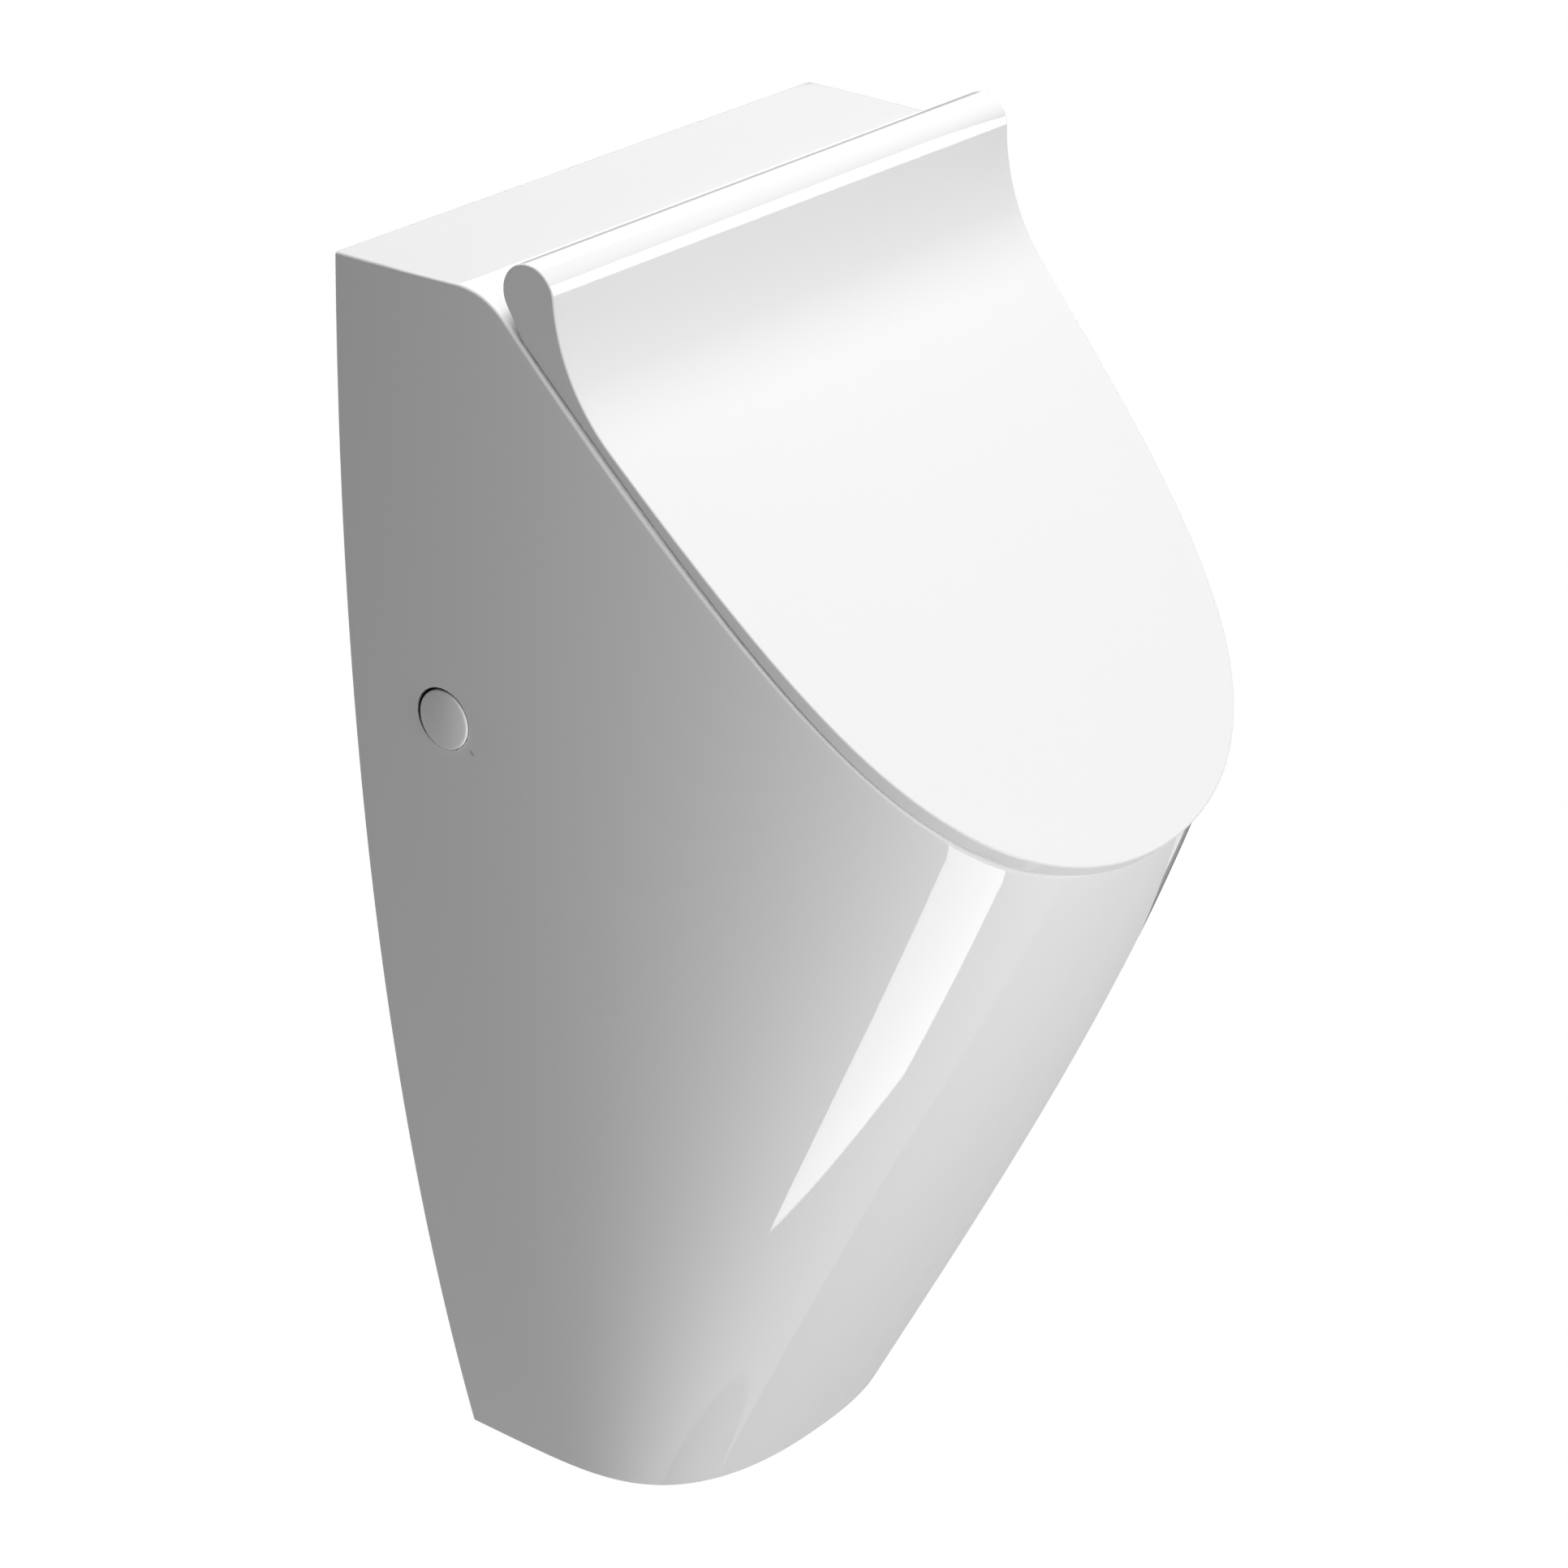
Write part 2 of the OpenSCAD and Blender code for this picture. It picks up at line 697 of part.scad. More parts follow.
screw_tail = 6;
socket_flats = 5;
socket_deep = 3;
module side_screws() {
    head_x = bush_seat_x + seat;
    color("silver")
    at_side_hole()
        for (side = [-1, 1])
            difference() {
                union() {
                    x_rod(screw_head_r, side * head_x, side * (head_x + screw_head_h));
                    x_rod(screw_r, side * (leg_x - bracket_t - screw_tail), side * (head_x + over));
                }
                translate([side * (head_x + screw_head_h - socket_deep / 2 + over), 0, 0])
                    rotate([0, 90, 0])
                        cylinder(d = socket_flats / cos(30), h = socket_deep + 2 * over,
                            center = true, $fn = 6);
            }
}

// Cap with a low dome and a skirt that stands on the bush
module hole_cap(side) {
    r = side_hole_r - 2 * seat;
    low = -cap_t - cap_skirt;
    color([0.95, 0.95, 0.94])
    at_side_hole()
    translate([side * cap_face_x, 0, 0])
    rotate([0, side * 90, 0])
        rotate_extrude($fn = round_fn)
            polygon(concat(dome_arc(r, r, cap_dome),
                [[r, low], [r - cap_wall, low], [r - cap_wall, -cap_t], [0, -cap_t]]));
}

module hole_cap_left() {
    hole_cap(-1);
}

module hole_cap_right() {
    hole_cap(1);
}

/* Inlet, drawn along +Z from the back of the bowl's wall into the bowl */
gasket_t = 2;
spray_flange_r = 24;
spray_flange_t = 4;
spray_cup_r = 17;
spray_cup_l = 20;
spray_wall = 2.5;
spray_slots = 5;
spray_slot_w = 5;
spray_slot_step = 28;
inlet_nut_h = 8;
inlet_nut_flats = 34;
inlet_washer_r = 20;
socket_wall = 4;
socket_overlap = 14;
seal_t = 2;

module at_inlet() {
    translate([0, -bowl_back_d, inlet_z])
        rotate([90, 0, 0])
            children();
}

stem_back = china_t + inlet_nut_h + washer_t + 2 * seat + socket_overlap;

module spray_head() {
    color([0.82, 0.83, 0.85])
    at_inlet()
    difference() {
        union() {
            translate([0, 0, -stem_back])
                cylinder(r = stem_r, h = stem_back + gasket_t + spray_flange_t, $fn = round_fn);
            translate([0, 0, gasket_t + 2 * seat])
                cylinder(r = spray_flange_r, h = spray_flange_t, $fn = round_fn);
            rotate_extrude($fn = round_fn)
                polygon(concat([[0, gasket_t + spray_flange_t], [spray_cup_r, gasket_t + spray_flange_t]],
                    [for (a = [0:3 * arc_step:90]) [spray_cup_r * cos(a),
                        gasket_t + spray_flange_t + spray_cup_l * (1 + sin(a)) / 2]],
                    [[0, gasket_t + spray_flange_t + spray_cup_l]]));
        }
        translate([0, 0, -stem_back - over])
            cylinder(r = stem_bore_r, h = stem_back + gasket_t + spray_flange_t + 2 * over, $fn = round_fn);
        translate([0, 0, gasket_t + spray_flange_t])
            cylinder(r = spray_cup_r - spray_wall, h = spray_cup_l / 2, $fn = round_fn);
        for (i = [0:spray_slots - 1])
            rotate([0, 0, -90 + (i - (spray_slots - 1) / 2) * spray_slot_step])
                translate([0, -spray_slot_w / 2, gasket_t + spray_flange_t])
                    cube([2 * spray_cup_r, spray_slot_w, spray_cup_l / 3]);
    }
}

module spray_head_gasket() {
    color([0.2, 0.2, 0.2])
    at_inlet()
        translate([0, 0, seat])
            z_ring(spray_flange_r - over, stem_r + seat, gasket_t);
}

module inlet_washer() {
    color([0.2, 0.2, 0.2])
    at_inlet()
        translate([0, 0, -china_t - washer_t - seat])
            z_ring(inlet_washer_r, stem_r + seat, washer_t);
}

module inlet_locknut() {
    color([0.75, 0.7, 0.5])
    at_inlet()
        translate([0, 0, -china_t - washer_t - 2 * seat - inlet_nut_h])
            hex_nut(inlet_nut_flats, stem_r + fit, inlet_nut_h);
}

socket_l = inlet_bore_l + seal_t + 2 * seat + socket_overlap - over;
socket_start = -stem_back + socket_overlap - over;
module inlet_socket() {
    color([0.86, 0.86, 0.85])
    at_inlet()
        translate([0, 0, socket_start - socket_l])
            difference() {
                union() {
                    cylinder(r = stem_r + socket_wall, h = socket_l, $fn = round_fn);
                    translate([0, 0, socket_l - socket_overlap])
                        hex_nut(inlet_nut_flats, stem_r, socket_overlap / 2);
                }
                translate([0, 0, -over])
                    cylinder(r = inlet_bore_r, h = socket_l, $fn = round_fn);
                translate([0, 0, inlet_bore_l])
                    cylinder(r = stem_r + fit, h = socket_l, $fn = round_fn);
            }
}

module inlet_seal() {
    color([0.2, 0.2, 0.2])
    at_inlet()
        translate([0, 0, -stem_back - seat - seal_t])
            z_ring(stem_r - fit, stem_bore_r + seat, seal_t);
}

/* Waste, drawn along Z at the drain, with Z = 0 on the bowl's floor */
waste_bore_r = 16.5;
waste_flange_r = 29;
waste_flange_t = 3;
top_seal_t = 1.5;
waste_below = 34;
cross_t = 4;
cross_hub_r = 6;
strainer_screw_r = 2.5;
strainer_screw_head_r = 5;
strainer_rise = 5;
strainer_t = 1.8;
strainer_r = 27;
strainer_hole_r = 2.4;
strainer_rings = 3;
strainer_ring_holes = 6;
// Width of the strainer's plain edge, as a share of the step between its rings of holes
strainer_edge_share = 0.5;
lower_seal_r = 30;
ring_nut_r = 30;
ring_nut_h = 10;
ring_nut_lugs = 6;
ring_nut_lug_w = 7;
ring_nut_lug_l = 3;

module at_drain() {
    translate([0, -drain_d, floor_z])
        children();
}

flange_top = top_seal_t + 2 * seat + waste_flange_t;
module waste_body() {
    color([0.75, 0.76, 0.78])
    at_drain()
    difference() {
        union() {
            translate([0, 0, flange_top - waste_flange_t])
                cylinder(r = waste_flange_r, h = waste_flange_t, $fn = round_fn);
            translate([0, 0, -waste_below])
                cylinder(r = waste_r, h = waste_below + flange_top, $fn = round_fn);
        }
        difference() {
            translate([0, 0, -waste_below - over])
                cylinder(r = waste_bore_r, h = waste_below + flange_top + 2 * over, $fn = round_fn);
            for (a = [0, 90])
                rotate([0, 0, a])
                    translate([-waste_r, -cross_t / 2, -cross_t])
                        cube([2 * waste_r, cross_t, 2 * cross_t]);
            translate([0, 0, -cross_t])
                cylinder(r = cross_hub_r, h = 2 * cross_t, $fn = round_fn);
        }
        translate([0, 0, -2 * cross_t])
            cylinder(r = strainer_screw_r + thread_play, h = 4 * cross_t, $fn = round_fn);
    }
}

module waste_top_seal() {
    color([0.2, 0.2, 0.2])
    at_drain()
        translate([0, 0, seat])
            z_ring(waste_flange_r - over, waste_r + seat, top_seal_t);
}

// Domed strainer with rings of holes
module strainer() {
    base = flange_top + seat;
    r_in = strainer_r - strainer_t;
    color([0.85, 0.86, 0.88])
    at_drain()
    translate([0, 0, base])
    difference() {
        rotate_extrude($fn = round_fn)
            polygon(concat(dome_arc(strainer_r, strainer_r, strainer_rise),
                [for (i = [dome_steps:-1:0]) let (p = dome_arc(r_in, strainer_r, strainer_rise)[i])
                    [p[0], max(0, p[1] - strainer_t)]]));
        translate([0, 0, -over])
            cylinder(r = strainer_screw_r + thread_play, h = 2 * strainer_rise, $fn = round_fn);
        for (ring = [1:strainer_rings], i = [0:strainer_ring_holes * ring - 1])
            rotate([0, 0, 360 * i / (strainer_ring_holes * ring)])
                translate([strainer_screw_head_r / 2 + ring * (strainer_r - strainer_screw_head_r)
                        / (strainer_rings + strainer_edge_share), 0, -over])
                    cylinder(r = strainer_hole_r, h = 2 * strainer_rise, $fn = round_fn / 2);
    }
}

module strainer_screw() {
    head_z = flange_top + 2 * seat + strainer_rise;
    color([0.8, 0.81, 0.83])
    at_drain() {
        translate([0, 0, head_z])
            cylinder(r = strainer_screw_head_r, h = strainer_t, $fn = round_fn);
        translate([0, 0, -2 * cross_t])
            cylinder(r = strainer_screw_r, h = head_z + 2 * cross_t + strainer_t / 2, $fn = round_fn);
    }
}

module waste_lower_seal() {
    color([0.2, 0.2, 0.2])
    at_drain()
        translate([0, 0, -china_t - washer_t - seat])
            z_ring(lower_seal_r, waste_r + seat, washer_t);
}

module waste_ring_nut() {
    color([0.9, 0.9, 0.9])
    at_drain()
        translate([0, 0, -china_t - washer_t - ring_nut_h - 2 * seat])
            difference() {
                union() {
                    cylinder(r = ring_nut_r, h = ring_nut_h, $fn = round_fn);
                    for (i = [0:ring_nut_lugs - 1])
                        rotate([0, 0, 360 * i / ring_nut_lugs])
                            translate([ring_nut_r - ring_nut_lug_l, -ring_nut_lug_w / 2, 0])
                                cube([2 * ring_nut_lug_l, ring_nut_lug_w, ring_nut_h]);
                }
                translate([0, 0, -over])
                    cylinder(r = waste_r + fit, h = ring_nut_h + 2 * over, $fn = round_fn);
            }
}

/* Bottle trap, drawn at the drain below the waste */
dip_flange_t = 2;
dip_r = 13;
dip_wall = 2;
dip_clearance = 7;
water_seal = 50;
neck_l = 10;
trap_wall = 3;
trap_nut_r = 25;
trap_shoulder = 6;
trap_below = 9;
cup_collar_h = 10;
cup_collar_t = 3;
cup_round = 14;
grip_ribs = 16;
grip_rib_w = 3;
grip_rib_t = 1.2;

waste_end = -waste_below;
dip_top = waste_end - seal_t - 2 * seat;
neck_top = dip_top - dip_flange_t - seat;
trap_top = neck_top - neck_l;
outlet_at = outlet_z - floor_z;
outlet_socket_wall = 3.5;
outlet_socket_l = 26;
socket_r = outlet_r + outlet_socket_wall;
outlet_socket_end = trap_r + outlet_socket_l;
trap_low = outlet_at - socket_r - trap_below;
trap_h = trap_top - trap_low;
dip_end = outlet_at - outlet_r + trap_wall - water_seal;
dip_l = dip_top - dip_end;
cup_rim = trap_low - 2 * seat - seal_t;
cup_h = cup_rim - dip_end + dip_clearance + trap_wall;

module trap_inlet_seal() {
    color([0.2, 0.2, 0.2])
    at_drain()
        translate([0, 0, waste_end - seat - seal_t])
            z_ring(waste_r - seat, waste_bore_r + seat, seal_t);
}

module dip_tube() {
    color([0.9, 0.9, 0.9])
    at_drain()
    difference() {
        union() {
            translate([0, 0, dip_top - dip_flange_t])
                cylinder(r = waste_r - seat, h = dip_flange_t, $fn = round_fn);
            translate([0, 0, dip_top - dip_l])
                cylinder(r = dip_r, h = dip_l, $fn = round_fn);
        }
        translate([0, 0, dip_top - dip_l - over])
            cylinder(r = dip_r - dip_wall, h = dip_l + 2 * over, $fn = round_fn);
    }
}

// Round bar with ribs for the hand
module ribbed_bar(r, h) {
    cylinder(r = r, h = h, $fn = round_fn);
    for (i = [0:grip_ribs - 1])
        rotate([0, 0, 360 * (i + 1 / 2) / grip_ribs])
            translate([r - grip_rib_t, -grip_rib_w / 2, 0])
                cube([2 * grip_rib_t, grip_rib_w, h]);
}

// Nut that draws the trap's neck up to the waste's thread
module trap_union_nut() {
    low = neck_top - neck_l / 2;
    high = waste_end + neck_l;
    color([0.93, 0.93, 0.92])
    at_drain()
        translate([0, 0, low])
            difference() {
                ribbed_bar(trap_nut_r, high - low);
                translate([0, 0, -over])
                    cylinder(r = waste_r + fit, h = high - low + 2 * over, $fn = round_fn);
            }
}

// Outlet socket on the trap, drawn along +Z toward the wall
module at_outlet() {
    translate([0, -drain_d, outlet_z])
        rotate([-90, 0, 0])
            children();
}

pipe_in = 18;
wall_stop = 2;
outlet_seal_l = 5;
outlet_nut_l = 16;
outlet_nut_r = 29;
outlet_pipe_wall = 2;
outlet_nut_gap = 4;

module trap_body() {
    color([0.93, 0.93, 0.92])
    difference() {
        union() {
            at_drain()
                rotate_extrude($fn = round_fn)
                    polygon([[0, neck_top], [waste_r, neck_top], [waste_r, trap_top],
                            [trap_r - trap_shoulder / 2, trap_top], [trap_r, trap_top - trap_shoulder / 2],
                            [trap_r, trap_low], [0, trap_low]]);
            at_outlet()
                cylinder(r = socket_r, h = outlet_socket_end, $fn = round_fn);
        }
        at_drain() {
            translate([0, 0, trap_low - over])
                cylinder(r = trap_r - trap_wall, h = trap_h - trap_wall + over, $fn = round_fn);
            translate([0, 0, trap_low])
                cylinder(r = dip_r + seat, h = trap_h + neck_l + over, $fn = round_fn);
        }
        at_outlet() {
            cylinder(r = outlet_r - trap_wall, h = outlet_socket_end + over, $fn = round_fn);
            translate([0, 0, outlet_socket_end - pipe_in])
                cylinder(r = outlet_r + seat, h = pipe_in + over, $fn = round_fn);
        }
    }
}

module trap_cup_seal() {
    color([0.2, 0.2, 0.2])
    at_drain()
        translate([0, 0, trap_low - seat - seal_t])
            z_ring(trap_r - seat, trap_r - trap_wall, seal_t);
}

module trap_cup() {
    r_in = trap_r - trap_wall;
    color([0.93, 0.93, 0.92])
    at_drain()
    difference() {
        union() {
            rotate_extrude($fn = round_fn)
                polygon(concat([[0, cup_rim], [trap_r + cup_collar_t, cup_rim],
                        [trap_r + cup_collar_t, cup_rim - cup_collar_t],
                        [trap_r, cup_rim - 2 * cup_collar_t]],
                    [for (a = [0:3 * arc_step:90]) [trap_r - cup_round * (1 - cos(a)),
                        cup_rim - cup_h + cup_round * (1 - sin(a))]],
                    [[0, cup_rim - cup_h]]));
            translate([0, 0, cup_rim - cup_collar_t / 2])
                cylinder(r = trap_r + cup_collar_t, h = cup_collar_h, $fn = round_fn);
        }
        translate([0, 0, cup_rim])
            cylinder(r = trap_r + fit, h = cup_collar_h + over, $fn = round_fn);
        rotate_extrude($fn = round_fn)
            polygon(concat([[0, cup_rim + over], [r_in, cup_rim + over]],
                [for (a = [0:3 * arc_step:90]) [r_in - (cup_round - trap_wall) * (1 - cos(a)),
                    cup_rim - cup_h + trap_wall + (cup_round - trap_wall) * (1 - sin(a))]],
                [[0, cup_rim - cup_h + trap_wall]]));
    }
}

// Pipe that widens behind the nut to the size of the wall's drain
pipe_start = outlet_socket_end - pipe_in + seat;
outlet_nut_end = outlet_socket_end + outlet_seal_l + 2 * seat + socket_wall;
module outlet_pipe() {
    end = drain_d - wall_stop;
    cone = outlet_nut_end + outlet_nut_gap;
    cone_l = outlet_end_r - outlet_r;
    color([0.93, 0.93, 0.92])
    at_outlet()
        rotate_extrude($fn = round_fn)
            polygon([[outlet_r, pipe_start], [outlet_r, cone], [outlet_end_r, cone + cone_l],
                    [outlet_end_r, end], [outlet_end_r - outlet_pipe_wall, end],
                    [outlet_end_r - outlet_pipe_wall, cone + cone_l],
                    [outlet_r - outlet_pipe_wall, cone], [outlet_r - outlet_pipe_wall, pipe_start]]);
}

module outlet_seal() {
    color([0.2, 0.2, 0.2])
    at_outlet()
        translate([0, 0, outlet_socket_end + seat])
            z_ring(socket_r, outlet_r + fit, outlet_seal_l);
}

// Nut that closes the outlet's seal on the pipe
module outlet_nut() {
    from = outlet_socket_end - outlet_nut_l + outlet_seal_l + 2 * seat;
    color([0.93, 0.93, 0.92])
    at_outlet()
        translate([0, 0, from])
            difference() {
                ribbed_bar(outlet_nut_r, outlet_nut_l + socket_wall);
                translate([0, 0, -over])
                    cylinder(r = socket_r + fit, h = outlet_nut_l + over, $fn = round_fn);
                cylinder(r = outlet_r + seat, h = outlet_nut_l + socket_wall + over, $fn = round_fn);
            }
}

ceramic_body();
lid_cover();
lid_buffers();
hinge_post_left();
hinge_post_right();
hinge_studs();
hinge_washers();
hinge_nuts();
hinge_shafts();
damper_left();
damper_right();
damper_spacers();
shaft_bushes();
wall_bracket_left();
wall_bracket_right();
side_bushes();
side_screws();
hole_cap_left();
hole_cap_right();
spray_head();
spray_head_gasket();
inlet_washer();
inlet_locknut();
inlet_socket();
inlet_seal();
strainer();
strainer_screw();
waste_body();
waste_top_seal();
waste_lower_seal();
waste_ring_nut();
trap_union_nut();
trap_inlet_seal();
dip_tube();
trap_body();
trap_cup_seal();
trap_cup();
outlet_seal();
outlet_nut();
outlet_pipe();
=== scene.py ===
# %% [markdown]
# A wall hung urinal is two things to the eye: one casting of white glazed china, and a glossy
# lid that lies in the slope of its rim. Behind them are the pieces that hang it on the wall and
# carry the water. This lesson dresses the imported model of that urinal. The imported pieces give
# every place and size. The china, the lid and the caps are modelled here again with smooth
# surfaces and rounded edges, because a glaze mirrors every facet.

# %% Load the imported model
import json
import math

import bmesh
import bpy
from mathutils import Matrix, Vector


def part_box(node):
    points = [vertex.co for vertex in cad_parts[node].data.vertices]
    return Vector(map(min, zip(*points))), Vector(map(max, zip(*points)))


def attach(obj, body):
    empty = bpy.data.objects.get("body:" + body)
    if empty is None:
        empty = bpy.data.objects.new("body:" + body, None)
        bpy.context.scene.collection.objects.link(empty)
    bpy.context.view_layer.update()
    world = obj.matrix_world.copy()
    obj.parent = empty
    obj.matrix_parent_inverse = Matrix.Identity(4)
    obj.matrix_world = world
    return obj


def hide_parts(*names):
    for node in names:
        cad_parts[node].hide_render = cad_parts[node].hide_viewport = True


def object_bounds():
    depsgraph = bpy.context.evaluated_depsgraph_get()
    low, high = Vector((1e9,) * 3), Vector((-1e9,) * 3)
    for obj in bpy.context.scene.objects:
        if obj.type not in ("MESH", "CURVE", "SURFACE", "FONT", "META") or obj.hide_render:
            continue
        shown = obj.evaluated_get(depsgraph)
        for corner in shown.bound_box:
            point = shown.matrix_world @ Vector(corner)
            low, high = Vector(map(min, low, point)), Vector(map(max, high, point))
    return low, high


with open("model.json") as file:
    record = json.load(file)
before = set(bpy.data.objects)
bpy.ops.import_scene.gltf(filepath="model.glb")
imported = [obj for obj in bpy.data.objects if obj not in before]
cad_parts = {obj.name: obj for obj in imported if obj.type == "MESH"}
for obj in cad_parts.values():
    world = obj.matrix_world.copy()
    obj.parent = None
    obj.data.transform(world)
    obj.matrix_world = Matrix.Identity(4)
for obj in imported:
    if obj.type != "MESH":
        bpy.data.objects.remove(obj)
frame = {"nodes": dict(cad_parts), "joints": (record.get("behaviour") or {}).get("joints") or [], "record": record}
nodes = frame["nodes"]
cad_box = [list(corner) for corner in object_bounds()]
print("packed pieces:", len(nodes), "box:", cad_box)

# %% [markdown]
# The sizes below are the ones that the urinal is drawn from, in metres. The china is described by
# a few curves: how wide and how deep it is at each height, and how square its plan is. A curve is
# a few control values, blended by repeated mixing, so it has no corner anywhere. A point that has
# no formula of its own is found by halving a span until it is as good as exact.

# %% Sizes of the china
TOP_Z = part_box("ceramic_body")[1].z
BODY_H = TOP_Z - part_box("ceramic_body")[0].z
TOP_HALF = 0.165
BODY_D = 0.34
SKIRT_D = 0.1408
CHINA_T = 0.01
WIDTH_SHARES = [1, 1.065, 0.964, 0.634]
RIM_DEPTH_SHARES = [1.12, 1.1]
SKIRT_DEPTH_SHARES = [1.787, 1]
FRONT_FULLNESS = [1.96, 2.16, 3.8, 4.82]
SIDE_FULLNESS = [2.61, 2.38]
RIM_CORNER_D = 0.0857
RIM_SLOPE = math.radians(46.4)
TOP_BLEND_R = 0.036
print("china is", round(BODY_H, 4), "m high")


# %% Curves of the china
def mixed(values, u):
    while len(values) > 1:
        values = [a * (1 - u) + b * u for a, b in zip(values, values[1:])]
    return values[0]


def share(drop):
    return min(1, max(0, drop / BODY_H))


def half_width(drop):
    return TOP_HALF * mixed(WIDTH_SHARES, share(drop))


def depth(drop):
    ends = [BODY_D * k for k in RIM_DEPTH_SHARES] + [SKIRT_D * k for k in SKIRT_DEPTH_SHARES]
    return mixed(ends, share(drop))


def halved(low, high, holds, times=34):
    """The last value from low to high for which holds(value) is true."""
    for _ in range(times):
        value = (low + high) / 2
        if holds(value):
            low = value
        else:
            high = value
    return low


def plan_x(drop, y, inset=0.0):
    """How far out the side wall is at a height and a depth."""
    u = share(drop)
    w, d = half_width(drop) - inset, depth(drop) - inset
    left = max(0, 1 - (abs(y) / d) ** mixed(FRONT_FULLNESS, u))
    return w * left ** (1 / mixed(SIDE_FULLNESS, u))


def plan_point(drop, turn, inset=0.0):
    """Point of the plan at a height, seen from the wall's middle under a turn from +X."""
    u = share(drop)
    w, d = half_width(drop) - inset, depth(drop) - inset
    side, front = mixed(SIDE_FULLNESS, u), mixed(FRONT_FULLNESS, u)
    c, s = abs(math.cos(turn)), math.sin(turn)
    r = halved(0.0, w + d, lambda r: (r * c / w) ** side + (r * s / d) ** front < 1)
    return math.copysign(r * c, math.cos(turn)), -r * s


print("plan at half height:", [round(v, 4) for v in plan_point(BODY_H / 2, math.radians(60))])

# %% [markdown]
# Seen from the side, the top is flat near the wall, turns over in an arc and runs down as the
# sloped rim. The same line serves the hollow behind the china, moved in by the wall's thickness.

# %% Line of the top
FLAT_ROWS = 7
ARC_ROWS = 12
PAST_ARC = 0.004


def top_drop(d, inset=0.0):
    """How far the top has dropped at a depth."""
    half = math.tan(RIM_SLOPE / 2)
    corner = RIM_CORNER_D - inset * half
    r = TOP_BLEND_R - inset
    start = corner - r * half
    if d <= start:
        return inset
    if d < start + r * math.sin(RIM_SLOPE):
        return inset + r - math.sqrt(r * r - (d - start) ** 2)
    return inset + (d - corner) * math.tan(RIM_SLOPE)


def rim_drop(turn, inset=0.0):
    """Drop at which the side wall meets the top under a turn."""
    def above(drop):
        return top_drop(-plan_point(drop, turn, inset)[1], inset) > drop
    return halved(inset, BODY_H / 2, above) if above(inset) else inset


def back_depths(inset=0.0):
    """Depths of the rows over the flat top and round its arc."""
    half = math.tan(RIM_SLOPE / 2)
    r = TOP_BLEND_R - inset
    start = RIM_CORNER_D - (inset + r) * half
    flat = [start * k / FLAT_ROWS for k in range(FLAT_ROWS)]
    arc = [start + r * math.sin(RIM_SLOPE * k / ARC_ROWS) for k in range(ARC_ROWS + 1)]
    return flat + arc + [arc[-1] + PAST_ARC]


print("rim tip drops", round(rim_drop(math.pi / 2), 4), "m; rows over the top:", len(back_depths()))

# %% [markdown]
# Most of the pieces start from one of Blender's own primitives and are shaped in edit mode. These
# helpers open a piece for editing with nothing selected, pick edges or faces by a test on their
# place, and close it again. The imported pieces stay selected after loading, so each helper first
# deselects everything.

# %% Editing by hand
TOUCH = 0.0001


def deselect():
    bpy.ops.object.select_all(action="DESELECT")


def take(piece):
    deselect()
    piece.select_set(True)
    bpy.context.view_layer.objects.active = piece


def open_edit(piece, mode="EDGE"):
    take(piece)
    bpy.ops.object.mode_set(mode="EDIT")
    bpy.ops.mesh.select_mode(type=mode)
    bpy.ops.mesh.select_all(action="DESELECT")
    return bmesh.from_edit_mesh(piece.data)


def close_edit():
    bpy.ops.object.mode_set(mode="OBJECT")


def pick(piece, bm, items, test):
    chosen = [item for item in items if test(item)]
    for item in chosen:
        item.select_set(True)
    bm.select_flush_mode()
    bmesh.update_edit_mesh(piece.data)
    return len(chosen)


def middle(item):
    return sum((v.co for v in item.verts), Vector()) / len(item.verts)


def near(value, plane):
    return abs(value - plane) < TOUCH


deselect()

# %% [markdown]
# A sheet is a grid primitive whose corners are put on a surface one by one. Sheets that share a
# border are joined, and corners in one place are merged, as a potter lutes slabs together. The
# normals then follow the larger faces, so that a rounded edge shades as a soft line beside flat
# glaze.

# %% Sheets, joining and shading
MERGE = 0.00001
NORMAL_WEIGHT = 60


def sheet(name, across, along, place):
    """A grid primitive whose corner (i, j) is put at place(i, j)."""
    deselect()
    bpy.ops.mesh.primitive_grid_add(x_subdivisions=across, y_subdivisions=along, size=1)
    piece = bpy.context.object
    piece.name = name
    for v in piece.data.vertices:
        i = round((v.co.x + 0.5) * across)
        j = round((v.co.y + 0.5) * along)
        v.co = place(i, j)
    return piece


def join(name, pieces):
    deselect()
    for piece in pieces:
        piece.select_set(True)
    bpy.context.view_layer.objects.active = pieces[0]
    bpy.ops.object.join()
    pieces[0].name = name
    open_edit(pieces[0], "VERT")
    bpy.ops.mesh.select_all(action="SELECT")
    bpy.ops.mesh.remove_doubles(threshold=MERGE)
    close_edit()
    return pieces[0]


def outwards(piece):
    open_edit(piece, "FACE")
    bpy.ops.mesh.select_all(action="SELECT")
    bpy.ops.mesh.normals_make_consistent(inside=False)
    close_edit()


def modify(piece, kind, **settings):
    """Adds a modifier with its settings and applies it."""
    take(piece)
    modifier = piece.modifiers.new(kind.lower(), kind)
    for name, value in settings.items():
        setattr(modifier, name, value)
    bpy.ops.object.modifier_apply(modifier=modifier.name)


def finish_shading(piece, degrees=35):
    """Smooth faces, sharp edges past an angle, and normals that follow the larger faces."""
    take(piece)
    bpy.ops.object.shade_smooth_by_angle(angle=math.radians(degrees))
    modify(piece, "WEIGHTED_NORMAL", mode="FACE_AREA", weight=NORMAL_WEIGHT, keep_sharp=True)


print("corners closer than", MERGE * 1000, "mm are merged")

# %% [markdown]
# The china's outside is one sheet, wrapped round from wall to wall. A grid is the right start,
# because its rows can follow the sloped rim at the top and the level edge at the bottom, and a
# grid shades evenly under a glaze. Cutting a block by the slope would leave slivers there.

